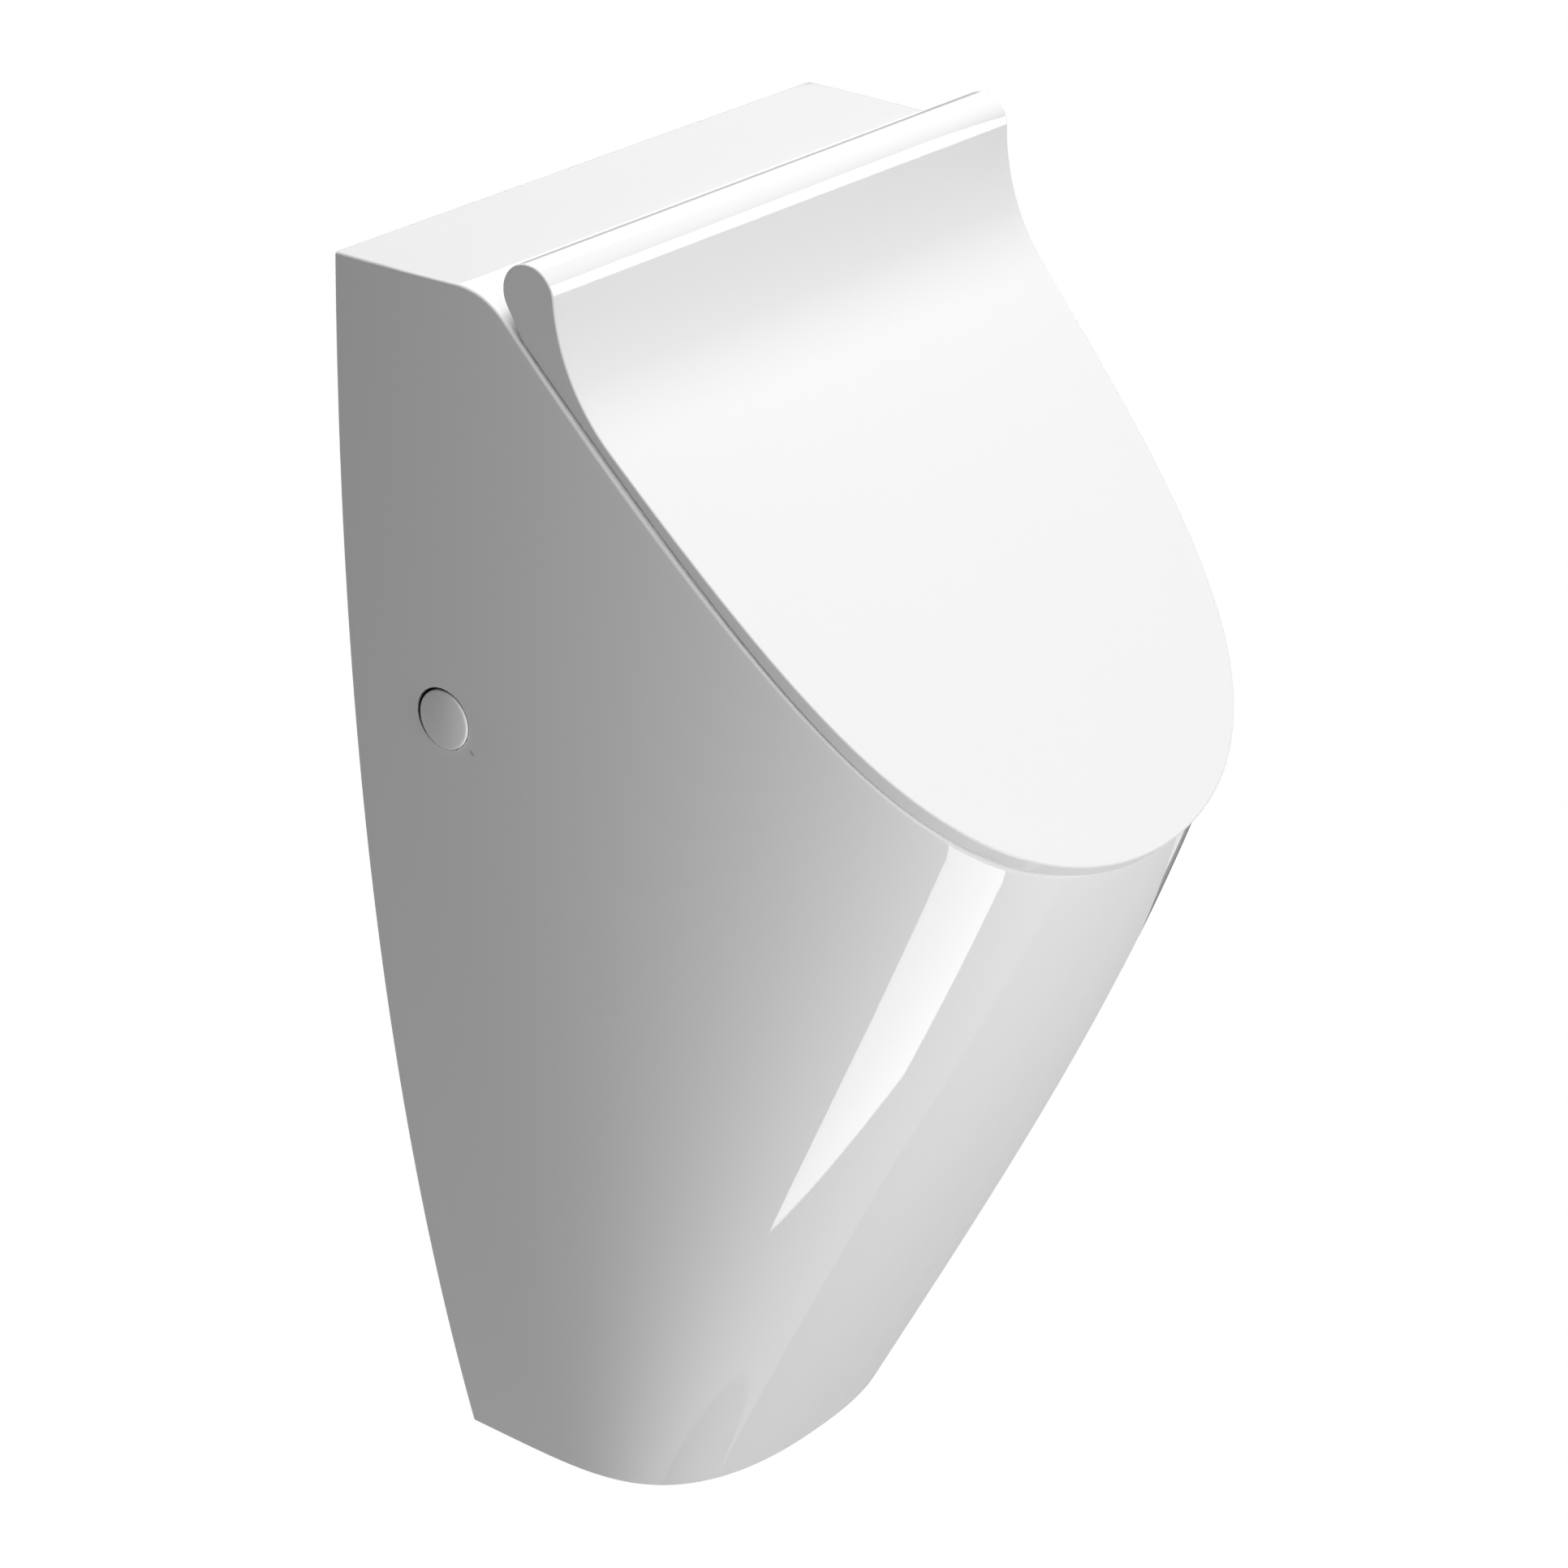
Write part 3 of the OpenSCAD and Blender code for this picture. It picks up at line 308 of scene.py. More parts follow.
# %% Outside of the china
FRONT_COLUMNS = 46
TOP_COLUMNS = 24
SIDE_ROWS = 96
FIRST_ROW_SHARE = 0.012


def column_turns(inset=0.0):
    """Turns of the sheet's columns: rows of the flat top first, then even steps to the front."""
    turns = []
    for d in back_depths(inset):
        drop = top_drop(d, inset)
        turns.append(math.atan2(d, plan_x(drop, d, inset)))
    last = turns[-1]
    turns += [last + (math.pi / 2 - last) * k / FRONT_COLUMNS for k in range(1, FRONT_COLUMNS + 1)]
    return turns + [math.pi - t for t in reversed(turns[:-1])]


def side_sheet(name, inset=0.0):
    turns = column_turns(inset)
    tops = [rim_drop(t, inset) for t in turns]

    def place(i, j):
        part = 0 if j == 0 else FIRST_ROW_SHARE + (1 - FIRST_ROW_SHARE) * j / SIDE_ROWS
        drop = tops[i] + (BODY_H - tops[i]) * part
        x, y = plan_point(drop, turns[i], inset)
        return Vector((x, y, TOP_Z - drop))

    return sheet(name, len(turns) - 1, SIDE_ROWS, place)


def top_sheet(name, inset=0.0):
    depths = back_depths(inset)

    def place(i, k):
        drop = top_drop(depths[k], inset)
        x = plan_x(drop, depths[k], inset) * (1 - 2 * i / TOP_COLUMNS)
        return Vector((x, -depths[k], TOP_Z - drop))

    return sheet(name, TOP_COLUMNS, len(depths) - 1, place)


china_side = side_sheet("china_side")
china_top = top_sheet("china_top")
print("china side:", len(china_side.data.vertices), "corners; top:", len(china_top.data.vertices))

# %% [markdown]
# Each side wall has a round hole for the screw that holds the china to its bracket, closed by a
# cap that lies a little below the surface. The hole is opened in the sheet by hand: a block of
# faces is deleted, its border is extruded in to a circle that lies on the wall's own curve, and
# extruded again over a rounded edge and down to the shoulder that the bush stands on.

# %% Side holes
HOLE_Y = -0.0563
HOLE_R = 0.015
HOLE_EDGE_R = 0.0006
HOLE_EDGE_STEPS = 4
HOLE_COLLAR = 0.0035
HOLE_BLOCK = 0.021
BORDER_REACH = 1.6 * HOLE_BLOCK
BUSH_FLANGE_T = 0.002
BUSH_BORE_R = 0.00915
BORE_PAST = 0.001
SHOULDER_X = abs(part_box("side_bushes")[0].x) - BUSH_FLANGE_T
BOSS_FACE_X = 0.148


def by_hole(p, side, reach):
    return p.x * side > 0 and abs(p.y - HOLE_Y) < reach and abs(p.z) < reach


def hole_rings():
    """Each ring of the hole's mouth as (radius, how far below the wall's surface)."""
    rings = [(HOLE_R + HOLE_COLLAR, 0), (HOLE_R + HOLE_EDGE_R, 0)]
    for k in range(1, HOLE_EDGE_STEPS + 1):
        a = math.pi / 2 * k / HOLE_EDGE_STEPS
        rings.append((HOLE_R + HOLE_EDGE_R * (1 - math.sin(a)), HOLE_EDGE_R * (1 - math.cos(a))))
    return rings


def open_hole(piece, side):
    bm = open_edit(piece, "FACE")
    pick(piece, bm, bm.faces, lambda f: by_hole(middle(f), side, HOLE_BLOCK))
    bpy.ops.mesh.delete(type="FACE")
    bpy.ops.mesh.select_mode(type="EDGE")
    bpy.ops.mesh.select_all(action="DESELECT")
    pick(piece, bm, bm.edges, lambda e: e.is_boundary and by_hole(middle(e), side, BORDER_REACH))
    for radius, sunk in hole_rings():
        bpy.ops.mesh.extrude_edges_move()
        ring = [v for v in bm.verts if v.select]
        ring.sort(key=lambda v: math.atan2(v.co.z, v.co.y - HOLE_Y))
        first = math.atan2(ring[0].co.z, ring[0].co.y - HOLE_Y)
        for k, v in enumerate(ring):
            turn = first + 2 * math.pi * k / len(ring)
            y = HOLE_Y + radius * math.cos(turn)
            z = radius * math.sin(turn)
            v.co = Vector((side * (plan_x(TOP_Z - z, y) - sunk), y, z))
    for x, radius in [(SHOULDER_X, HOLE_R), (SHOULDER_X, BUSH_BORE_R),
                      (BOSS_FACE_X - BORE_PAST, BUSH_BORE_R)]:
        bpy.ops.mesh.extrude_edges_move()
        for v in [v for v in bm.verts if v.select]:
            out = Vector((v.co.y - HOLE_Y, v.co.z)).normalized() * radius
            v.co = Vector((side * x, HOLE_Y + out.x, out.y))
    bpy.ops.mesh.edge_face_add()
    bmesh.update_edit_mesh(piece.data)
    close_edit()
    return len(ring)


for side in (-1, 1):
    print("side hole of", open_hole(china_side, side), "corners")

# %% [markdown]
# The bowl hangs from the rim inside the china: an oval that leans back at the top, where the lid's
# hinge stands, and closes in a rounded floor with the drain in it. Its columns start at the mouth,
# which is where its wall meets the sloped rim, so the mouth's edge is one clean ring of edges.

# %% Bowl's curves
BOWL_START = 2 * CHINA_T
BOWL_BACK_D = 0.086
BOWL_LEAN = 0.072
BOWL_LEAN_DROP = 0.115
BOWL_FLOOR_DROP = 0.452
BOWL_FLOOR_RISE = 0.107
BOWL_SIDE_INSET = 0.032
BOWL_FRONT_INSET = 0.014
BOWL_SIDE_TAPER = 0.012
BOWL_FRONT_TAPER = 0.02
BOWL_FRONT_FULLNESS = 2.4
BOWL_BACK_FULLNESS = 4
DRAIN_D = 0.118
FLOOR_R = 0.031
FLOOR_START = BOWL_FLOOR_DROP - BOWL_FLOOR_RISE
TIP_DROP = rim_drop(math.pi / 2)


def bowl_point(turn, drop, close=0.0, grow=0.0):
    """Point of the bowl's wall; close draws it in to the floor's circle, grow moves it out."""
    u = max(0, (drop - TIP_DROP) / (BOWL_FLOOR_DROP - TIP_DROP)) ** 2
    left = max(0, 1 - (drop - BOWL_START) / (BOWL_LEAN_DROP - BOWL_START))
    behind = DRAIN_D - BOWL_BACK_D
    mid = BOWL_BACK_D + BOWL_LEAN * left ** 2 + behind
    w = half_width(max(drop, BOWL_LEAN_DROP)) - BOWL_SIDE_INSET - BOWL_SIDE_TAPER * u
    front = depth(max(drop, TIP_DROP)) - BOWL_FRONT_INSET - BOWL_FRONT_TAPER * u - DRAIN_D
    ahead = math.sin(turn) > 0
    n = mixed([BOWL_FRONT_FULLNESS if ahead else BOWL_BACK_FULLNESS, 2], close)
    w = mixed([w, FLOOR_R], close) + grow
    d = mixed([front if ahead else behind, FLOOR_R], close) + grow
    x = math.copysign(abs(math.cos(turn)) ** (2 / n), math.cos(turn)) * w
    y = math.copysign(abs(math.sin(turn)) ** (2 / n), math.sin(turn)) * d
    return Vector((x, -mid - y, TOP_Z - drop - grow * close))


def mouth_drop(turn):
    return halved(BOWL_START, TIP_DROP, lambda drop: top_drop(-bowl_point(turn, drop).y) > drop, 30)


print("mouth from", round(mouth_drop(-math.pi / 2), 4), "to", round(mouth_drop(math.pi / 2), 4))

# %% [markdown]
# The mouth gets as many corners as the rim round it, each in the same direction from the middle of
# the slope. Then the flat band between the two loops is one row of tidy four-sided faces.

# %% Rim's outer loop
MOUTH_CENTRE_Y = -0.19
LOOK_STEPS = 720


def rim_loop():
    """The outer loop of the sloped rim, from the front right round to the back line."""
    turns = column_turns()
    edge_row = len(back_depths()) - 1
    loop = []
    for turn in turns[edge_row:len(turns) - edge_row]:
        drop = rim_drop(turn)
        x, y = plan_point(drop, turn)
        loop.append(Vector((x, y, TOP_Z - drop)))
    back_y = -back_depths()[-1]
    drop = top_drop(-back_y)
    half = plan_x(drop, back_y)
    for i in range(1, TOP_COLUMNS):
        loop.append(Vector((-half + 2 * half * i / TOP_COLUMNS, back_y, TOP_Z - drop)))
    return loop


def way_to(p):
    return math.atan2(-(p.y - MOUTH_CENTRE_Y), p.x)


def mouth_turns(loop):
    """For each corner of the outer loop, the bowl's turn that lies in the same direction."""
    steps = [2 * math.pi * k / LOOK_STEPS - math.pi for k in range(LOOK_STEPS + 1)]
    ways = [way_to(bowl_point(t, mouth_drop(t))) for t in steps]
    found = []
    for corner in loop:
        way = way_to(corner)
        k = max((k for k in range(LOOK_STEPS) if ways[k] < way), key=lambda k: ways[k], default=0)
        span = ways[k + 1] - ways[k] or 1
        found.append(steps[k] + (steps[k + 1] - steps[k]) * min(1, max(0, (way - ways[k]) / span)))
    return found


outer = rim_loop()
bowl_turns = mouth_turns(outer)
mouth_drops = [mouth_drop(t) for t in bowl_turns]
print("corners round the rim and round the mouth:", len(outer))

# %% Bowl and rim
BOWL_ROWS = 26
BOWL_FIRST_ROW_SHARE = 0.03
FLOOR_ROWS = 18
DRAIN_HOLE_R = 0.0215
DRAIN_DEPTH = CHINA_T + 0.001


def floor_point(turn, a, grow=0.0):
    """Point of the rounded floor, a quarter turn from the wall to the floor's circle."""
    return bowl_point(turn, FLOOR_START + BOWL_FLOOR_RISE * math.sin(a), 1 - math.cos(a), grow)


def bowl_place(i, j):
    turn, first = bowl_turns[i % len(outer)], mouth_drops[i % len(outer)]
    if j <= BOWL_ROWS:
        part = 0 if j == 0 else BOWL_FIRST_ROW_SHARE + (1 - BOWL_FIRST_ROW_SHARE) * j / BOWL_ROWS
        return bowl_point(turn, first + (FLOOR_START - first) * part)
    p = floor_point(turn, math.pi / 2 * min(1, (j - BOWL_ROWS) / FLOOR_ROWS))
    if j > BOWL_ROWS + FLOOR_ROWS:
        centre = Vector((0, -DRAIN_D, p.z))
        p = centre + (p - centre) * DRAIN_HOLE_R / FLOOR_R
    if j == BOWL_ROWS + FLOOR_ROWS + 2:
        p.z -= DRAIN_DEPTH
    return p


bowl = sheet("bowl", len(outer), BOWL_ROWS + FLOOR_ROWS + 2, bowl_place)
rim = sheet("rim", len(outer), 1, lambda i, j: outer[i % len(outer)] if j == 0 else bowl_place(i, 0))
china = join("china_body", [china_side, china_top, bowl, rim])
print("china skin:", len(china.data.polygons), "faces")

# %% [markdown]
# The skin is still open at the wall, at its lower edge and under the drain. One face over each of
# these borders makes it a closed solid, and only a closed solid can be hollowed cleanly later.

# %% Closed back and bottom
LOW_Z = TOP_Z - BODY_H
DRAIN_Z = TOP_Z - BOWL_FLOOR_DROP - DRAIN_DEPTH


def fill_borders(piece, tests):
    """Closes a piece's open borders, one face for each test on the place of an edge."""
    bm = open_edit(piece, "EDGE")
    for test in tests:
        bpy.ops.mesh.select_all(action="DESELECT")
        pick(piece, bm, bm.edges, lambda e: e.is_boundary and test(middle(e)))
        bpy.ops.mesh.edge_face_add()
    left = sum(e.is_boundary for e in bm.edges)
    close_edit()
    outwards(piece)
    return left


print("china's open edges left:", fill_borders(china, [
    lambda p: near(p.z, DRAIN_Z), lambda p: near(p.z, LOW_Z), lambda p: near(p.y, 0)]))

# %% [markdown]
# China has no sharp edge, because the glaze pulls thin over one. The mouth is rounded most, the
# outline of the rim, the wall edges and the lower edge less. Bevel pushes a few corners of the
# bulging sides out by a hair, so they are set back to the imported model's width.

# %% Rounded edges of the china
MOUTH_R = 0.005
MOUTH_LEAST_ANGLE = 0.6
MOUTH_BACK_Y = -0.11
EDGE_R = 0.0013
EDGE_LEAST_ANGLE = 0.5
ON_SLOPE = 0.0003
RIM_LAND = 0.008
HALF_W = cad_box[1][0]


def on_slope(p):
    return abs(TOP_Z - top_drop(-p.y) - p.z) < ON_SLOPE


def inside_mouth(p):
    return abs(p.x) < plan_x(TOP_Z - p.z, p.y) - RIM_LAND


def mouth_edge(e):
    p = middle(e)
    return (e.calc_face_angle(0) > MOUTH_LEAST_ANGLE and on_slope(p) and p.y < MOUTH_BACK_Y
            and inside_mouth(p))


def outer_edge(e):
    p = middle(e)
    return e.calc_face_angle(0) > EDGE_LEAST_ANGLE and (
        near(p.y, 0) or near(p.z, LOW_Z) or (on_slope(p) and not inside_mouth(p)))


bm = open_edit(china, "EDGE")
print("mouth edges:", pick(china, bm, bm.edges, mouth_edge))
bpy.ops.mesh.bevel(offset=MOUTH_R, segments=5, profile=0.5, affect="EDGES")
bpy.ops.mesh.select_all(action="DESELECT")
print("outer edges:", pick(china, bm, bm.edges, outer_edge))
bpy.ops.mesh.bevel(offset=EDGE_R, segments=4, profile=0.5, affect="EDGES")
close_edit()
for v in china.data.vertices:
    v.co.x = max(-HALF_W, min(HALF_W, v.co.x))

# %% [markdown]
# Behind the glaze the casting is a shell of one thickness, open to the wall and below, where the
# trap hangs. The shell's air is made as a solid of its own: the outside moved in by the wall's
# thickness, less the bowl's outer skin, less the two bosses that back the side holes. Taking that
# air away from the china is how a slip casting thinks too: it keeps one thickness from each face.

# %% Air behind the china
BOSS_R = 0.024
SKIN_COLUMNS = 112
PAST = 0.01


def bowl_skin_place(i, j):
    turn = 2 * math.pi * (i % SKIN_COLUMNS) / SKIN_COLUMNS - math.pi
    if j <= BOWL_ROWS:
        return bowl_point(turn, BOWL_START + (FLOOR_START - BOWL_START) * j / BOWL_ROWS, 0, CHINA_T)
    return floor_point(turn, math.pi / 2 * (j - BOWL_ROWS) / FLOOR_ROWS, CHINA_T)


def x_bar(name, r, x_from, x_to, centre=(0, 0), sides=48):
    """A round bar along X."""
    deselect()
    bpy.ops.mesh.primitive_cylinder_add(vertices=sides, radius=r, depth=abs(x_to - x_from),
                                        location=((x_from + x_to) / 2, centre[0], centre[1]),
                                        rotation=(0, math.pi / 2, 0))
    piece = bpy.context.object
    piece.name = name
    bpy.ops.object.transform_apply(location=True, rotation=True, scale=True)
    return piece


def cut(piece, cutter):
    modify(piece, "BOOLEAN", operation="DIFFERENCE", object=cutter, solver="EXACT")
    bpy.data.objects.remove(cutter)


air = join("air", [side_sheet("air_side", CHINA_T), top_sheet("air_top", CHINA_T)])
print("air open:", fill_borders(air, [lambda p: near(p.z, LOW_Z), lambda p: near(p.y, 0)]))
for v in air.data.vertices:
    if abs(v.co.y) < MERGE:
        v.co.y = PAST
    if abs(v.co.z - LOW_Z) < MERGE:
        v.co.z -= PAST
skin = join("bowl_skin", [sheet("bowl_skin", SKIN_COLUMNS, BOWL_ROWS + FLOOR_ROWS, bowl_skin_place)])
skin_low = bowl_skin_place(0, BOWL_ROWS + FLOOR_ROWS).z
skin_high = bowl_skin_place(0, 0).z
print("skin open:", fill_borders(skin, [lambda p: near(p.z, skin_low), lambda p: near(p.z, skin_high)]))
cut(air, skin)
for side in (-1, 1):
    cut(air, x_bar("boss", BOSS_R, side * BOSS_FACE_X, side * 2 * TOP_HALF,
                   centre=(HOLE_Y, 0), sides=72))
print("air:", len(air.data.polygons), "faces")

# %% [markdown]
# The faces that the air leaves behind have no glaze, so each face carries a note that the finish
# reads later: bare for unglazed clay, and another for the wall of the hole round each cap, which is
# painted dark as shade in the joint. The cut hands the air's notes on to the china by itself. Two
# drilled holes take the hinge's studs, and one takes the inlet's stem.

# %% Hollow and bores
HINGE = Vector((0, -0.1105, 0.2113))
AXIS_ABOVE_RIM = ((-HINGE.y - RIM_CORNER_D) * math.sin(RIM_SLOPE)
                  + (HINGE.z - TOP_Z) * math.cos(RIM_SLOPE))
STEM_HOLE_R = 0.014
INLET_Z = 0.0586
STUD_HOLE_R = 0.0055
STUD_X = 0.1
STUD_ALONG = 0.0095


def mark(piece, name, value):
    """Notes a value on each face of a piece; value is a number or a test on the face's middle."""
    layer = piece.data.attributes.get(name) or piece.data.attributes.new(name, "FLOAT", "FACE")
    test = value if callable(value) else lambda p: value
    layer.data.foreach_set("value", [float(test(f.center)) for f in piece.data.polygons])


mark(china, "bare", 0)
mark(air, "bare", 1)
cut(china, air)
bpy.ops.mesh.primitive_cylinder_add(vertices=64, radius=STEM_HOLE_R, depth=BOWL_BACK_D + CHINA_T,
                                    location=(0, -(BOWL_BACK_D + CHINA_T) / 2, INLET_Z),
                                    rotation=(math.pi / 2, 0, 0))
cut(china, bpy.context.object)
at_rim = Matrix.Translation(HINGE) @ Matrix.Rotation(RIM_SLOPE, 4, "X")
for side in (-1, 1):
    deselect()
    bpy.ops.mesh.primitive_cylinder_add(vertices=32, radius=STUD_HOLE_R, depth=3 * CHINA_T)
    stud_hole = bpy.context.object
    stud_hole.data.transform(at_rim @ Matrix.Translation(
        (side * STUD_X, -STUD_ALONG, -AXIS_ABOVE_RIM - CHINA_T / 2)))
    cut(china, stud_hole)
print("china:", len(china.data.polygons), "faces, bare of glaze:",
      sum(note.value > 0.5 for note in china.data.attributes["bare"].data))

# %% China in its place
JOINT_REACH = 0.0002


def in_joint(p):
    return (math.hypot(p.y - HOLE_Y, p.z) < HOLE_R + JOINT_REACH
            and abs(p.x) > SHOULDER_X - TOUCH)


# The wall of each side hole gets a note that paints it dark, as painted shade in the joint round the cap.
mark(china, "painted_joint_shade", in_joint)
finish_shading(china)
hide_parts("ceramic_body")
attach(china, "urinal")
print("faces in the shaded joints:", sum(in_joint(f.center) for f in china.data.polygons))

# %% [markdown]
# The lid is drawn flat, as its maker would: a side view of roll, hollow run and face, and an
# outline seen square to the face. Each corner of the side view gives one corner at the left and
# one at the right, so every face over the lid is one straight strip from side to side, as exact as
# the real moulding. Then the whole lid is turned into its place on the hinge.

# %% Sizes and outline of the lid
LID_SLOPE = math.radians(45.4)
SLOPE_GAP = RIM_SLOPE - LID_SLOPE
LID_GAP = 0.002
OUTLINE_L = 0.4345
OUTLINE_BACK = 0.097
LID_HALF = 0.1613
LID_FULLNESS = [1, 0.096, -0.111, 0.557]
UNDER_DROP = (AXIS_ABOVE_RIM - LID_GAP) / math.cos(SLOPE_GAP)
LID_TIP = OUTLINE_L - OUTLINE_BACK


def lid_half(along):
    u = min(1, (along + OUTLINE_BACK) / OUTLINE_L)
    k = LID_FULLNESS
    return LID_HALF * math.sqrt(max(0, 1 - u * u)) * (k[0] + k[1] * u + k[2] * u * u + k[3] * u ** 3)


def lid_under(along):
    return -UNDER_DROP - along * math.tan(SLOPE_GAP)


def outline(start, count=40, inset=0.0):
    """Right half of the outline from a distance to the tip, as (x, along)."""
    first = math.asin((OUTLINE_BACK + start) / OUTLINE_L)
    points = []
    for k in range(count + 1):
        a = first + (math.pi / 2 - first) * k / count
        u = math.sin(a)
        x = lid_half(OUTLINE_L * u - OUTLINE_BACK) - inset * math.cos(a)
        points.append((0 if k == count else max(0, x), OUTLINE_L * u - OUTLINE_BACK - inset * u))
    return points


print("hinge axis above the rim:", round(AXIS_ABOVE_RIM, 5), "lid's tip at", round(LID_TIP, 4))

# %% Side view of the lid
ROLL_R = 0.0142
ROLL_STEPS = 32
RUN_R = 0.094
RUN_STEPS = 24
FACE_DROP = 0.0146
HEEL_SLOPE = math.radians(16)


def lid_side_view():
    """Upper line from the heel over the roll and down the run, as (along, height)."""
    run_c = math.sqrt((RUN_R + ROLL_R) ** 2 - (RUN_R - FACE_DROP) ** 2)
    join_turn = math.atan2(RUN_R - FACE_DROP, run_c)
    heel = math.radians(270) - HEEL_SLOPE
    roll = []
    for k in range(ROLL_STEPS + 1):
        a = heel + (join_turn - heel) * k / ROLL_STEPS
        roll.append((ROLL_R * math.cos(a), ROLL_R * math.sin(a)))
    run = []
    for k in range(1, RUN_STEPS + 1):
        a = math.pi + join_turn + (math.pi / 2 - join_turn) * k / RUN_STEPS
        run.append((run_c + RUN_R * math.cos(a), RUN_R - FACE_DROP + RUN_R * math.sin(a)))
    hx, hz = roll[0]
    meet = (hz + hx * math.tan(HEEL_SLOPE) + UNDER_DROP) / (math.tan(HEEL_SLOPE) - math.tan(SLOPE_GAP))
    return roll, run, meet


roll, run, meet = lid_side_view()
print("roll corners", len(roll), "run corners", len(run), "heel meets the underside at", round(meet, 4))

# %% Lid's body
LEAST_WALL_ALONG = 0.0015


def solid(name, bm):
    """Makes a piece of a bmesh, with its faces outwards."""
    mesh = bpy.data.meshes.new(name)
    bm.to_mesh(mesh)
    bm.free()
    piece = bpy.data.objects.new(name, mesh)
    bpy.context.scene.collection.objects.link(piece)
    outwards(piece)
    return piece


def lid_body(name):
    bm = bmesh.new()

    def pair(x, along, height):
        right = bm.verts.new((x, -along, height))
        left = bm.verts.new((-x, -along, height))
        return right, left

    upper = [pair(lid_half(a), a, h) for a, h in roll + run]
    tip_line = outline(run[-1][0])
    face_edge = [pair(x, a, -FACE_DROP) for x, a in tip_line[1:-1]]
    tip = bm.verts.new((0, -LID_TIP, -FACE_DROP))
    heel = pair(lid_half(meet), meet, lid_under(meet))
    walls = [(a, h) for a, h in run if a > meet + LEAST_WALL_ALONG]
    first = len(upper) - len(walls)
    under = [pair(lid_half(a), a, lid_under(a)) for a, h in walls]
    under += [pair(x, a, lid_under(a)) for x, a in tip_line[1:-1]]
    low_tip = bm.verts.new((0, -LID_TIP, lid_under(LID_TIP)))

    for a, b in zip(upper, upper[1:]):
        bm.faces.new((a[0], b[0], b[1], a[1]))
    bm.faces.new([p[0] for p in [upper[-1]] + face_edge] + [tip]
                 + [p[1] for p in reversed([upper[-1]] + face_edge)])
    bm.faces.new((upper[0][0], upper[0][1], heel[1], heel[0]))
    bm.faces.new([p[0] for p in [heel] + under] + [low_tip] + [p[1] for p in reversed([heel] + under)])
    edge = upper[first:] + face_edge
    for s in (0, 1):
        bm.faces.new([p[s] for p in upper[:first + 1]] + [under[0][s], heel[s]])
        for k in range(len(edge) - 1):
            bm.faces.new((edge[k][s], edge[k + 1][s], under[k + 1][s], under[k][s]))
        bm.faces.new((edge[-1][s], tip, low_tip, under[-1][s]))
    return solid(name, bm)


lid = lid_body("lid")
print("lid:", len(lid.data.polygons), "faces")

# %% [markdown]
# A polished moulding keeps crisp edges, so the lid's upper outline is rounded by less than a
# millimetre, and its lower one by a little less still. Only edges that run along the outline are
# picked, never the long ones from side to side.

# %% Rounded edges of the lid
LID_EDGE_R = 0.0009
LID_LOW_EDGE_R = 0.0006
LID_LEAST_ANGLE = 0.7
LONG_EDGE_X = 0.05
BY_OUTLINE = 0.0012
BY_TIP = 0.004
ABOVE_UNDER = 0.001
ON_UNDER = 0.0003


def outline_edge(e):
    """A sharp edge along the outline; the first bevel leaves two edges without any length."""
    a, b = e.verts
    return (e.calc_face_angle(0) > LID_LEAST_ANGLE and abs(a.co.x - b.co.x) < LONG_EDGE_X
            and (a.co - b.co).length > MERGE)


def upper_outline(e):
    p = middle(e)
    return (outline_edge(e) and p.z > lid_under(-p.y) + ABOVE_UNDER
            and (abs(abs(p.x) - lid_half(-p.y)) < BY_OUTLINE or -p.y > LID_TIP - BY_TIP))


def lower_outline(e):
    p = middle(e)
    return outline_edge(e) and p.z < lid_under(-p.y) + ON_UNDER


bm = open_edit(lid, "EDGE")
print("upper outline:", pick(lid, bm, bm.edges, upper_outline))
bpy.ops.mesh.bevel(offset=LID_EDGE_R, segments=4, profile=0.5, affect="EDGES")
bpy.ops.mesh.select_all(action="DESELECT")
print("lower outline:", pick(lid, bm, bm.edges, lower_outline))
bpy.ops.mesh.bevel(offset=LID_LOW_EDGE_R, segments=2, profile=0.5, affect="EDGES")
close_edit()

# %% [markdown]
# Under the lid the plate is thin inside a thicker edge, two slots let the hinge posts swing, and
# two round channels hold the closing dampers. Each is a cutter taken away from the lid. A slot is
# the fan that a post's arm and foot sweep while the lid opens, with a little play.

# %% Post slots
POST_X = 0.1
POST_W = 0.018
EYE_R = 0.007
ARM_T = 0.006
ARM_TURN = math.radians(36)
FOOT_T = 0.004
FOOT_TOE = 0.031
SLOT_PLAY = 0.0006
SLOT_STEPS = 24
TURN_PLAY = math.radians(1)
UNDER_PLAY = 0.0003
HALF_POST = POST_W / 2 + SLOT_PLAY
LID_OPEN = math.radians(frame["joints"][0]["range_deg"][1])


def between(name, start, end):
    """A solid between two loops that have the same count of corners."""
    bm = bmesh.new()
    ends = [[bm.verts.new(p) for p in loop] for loop in (start, end)]
    bm.faces.new(ends[0])
    bm.faces.new(list(reversed(ends[1])))
    count = len(start)
    for k in range(count):
        bm.faces.new((ends[0][k], ends[1][k], ends[1][(k + 1) % count], ends[0][(k + 1) % count]))
    return solid(name, bm)


def prism(name, points, x_from, x_to):
    """A bar along X whose section is given as (along, height)."""
    return between(name, *[[(x, -a, h) for a, h in points] for x in (x_from, x_to)])


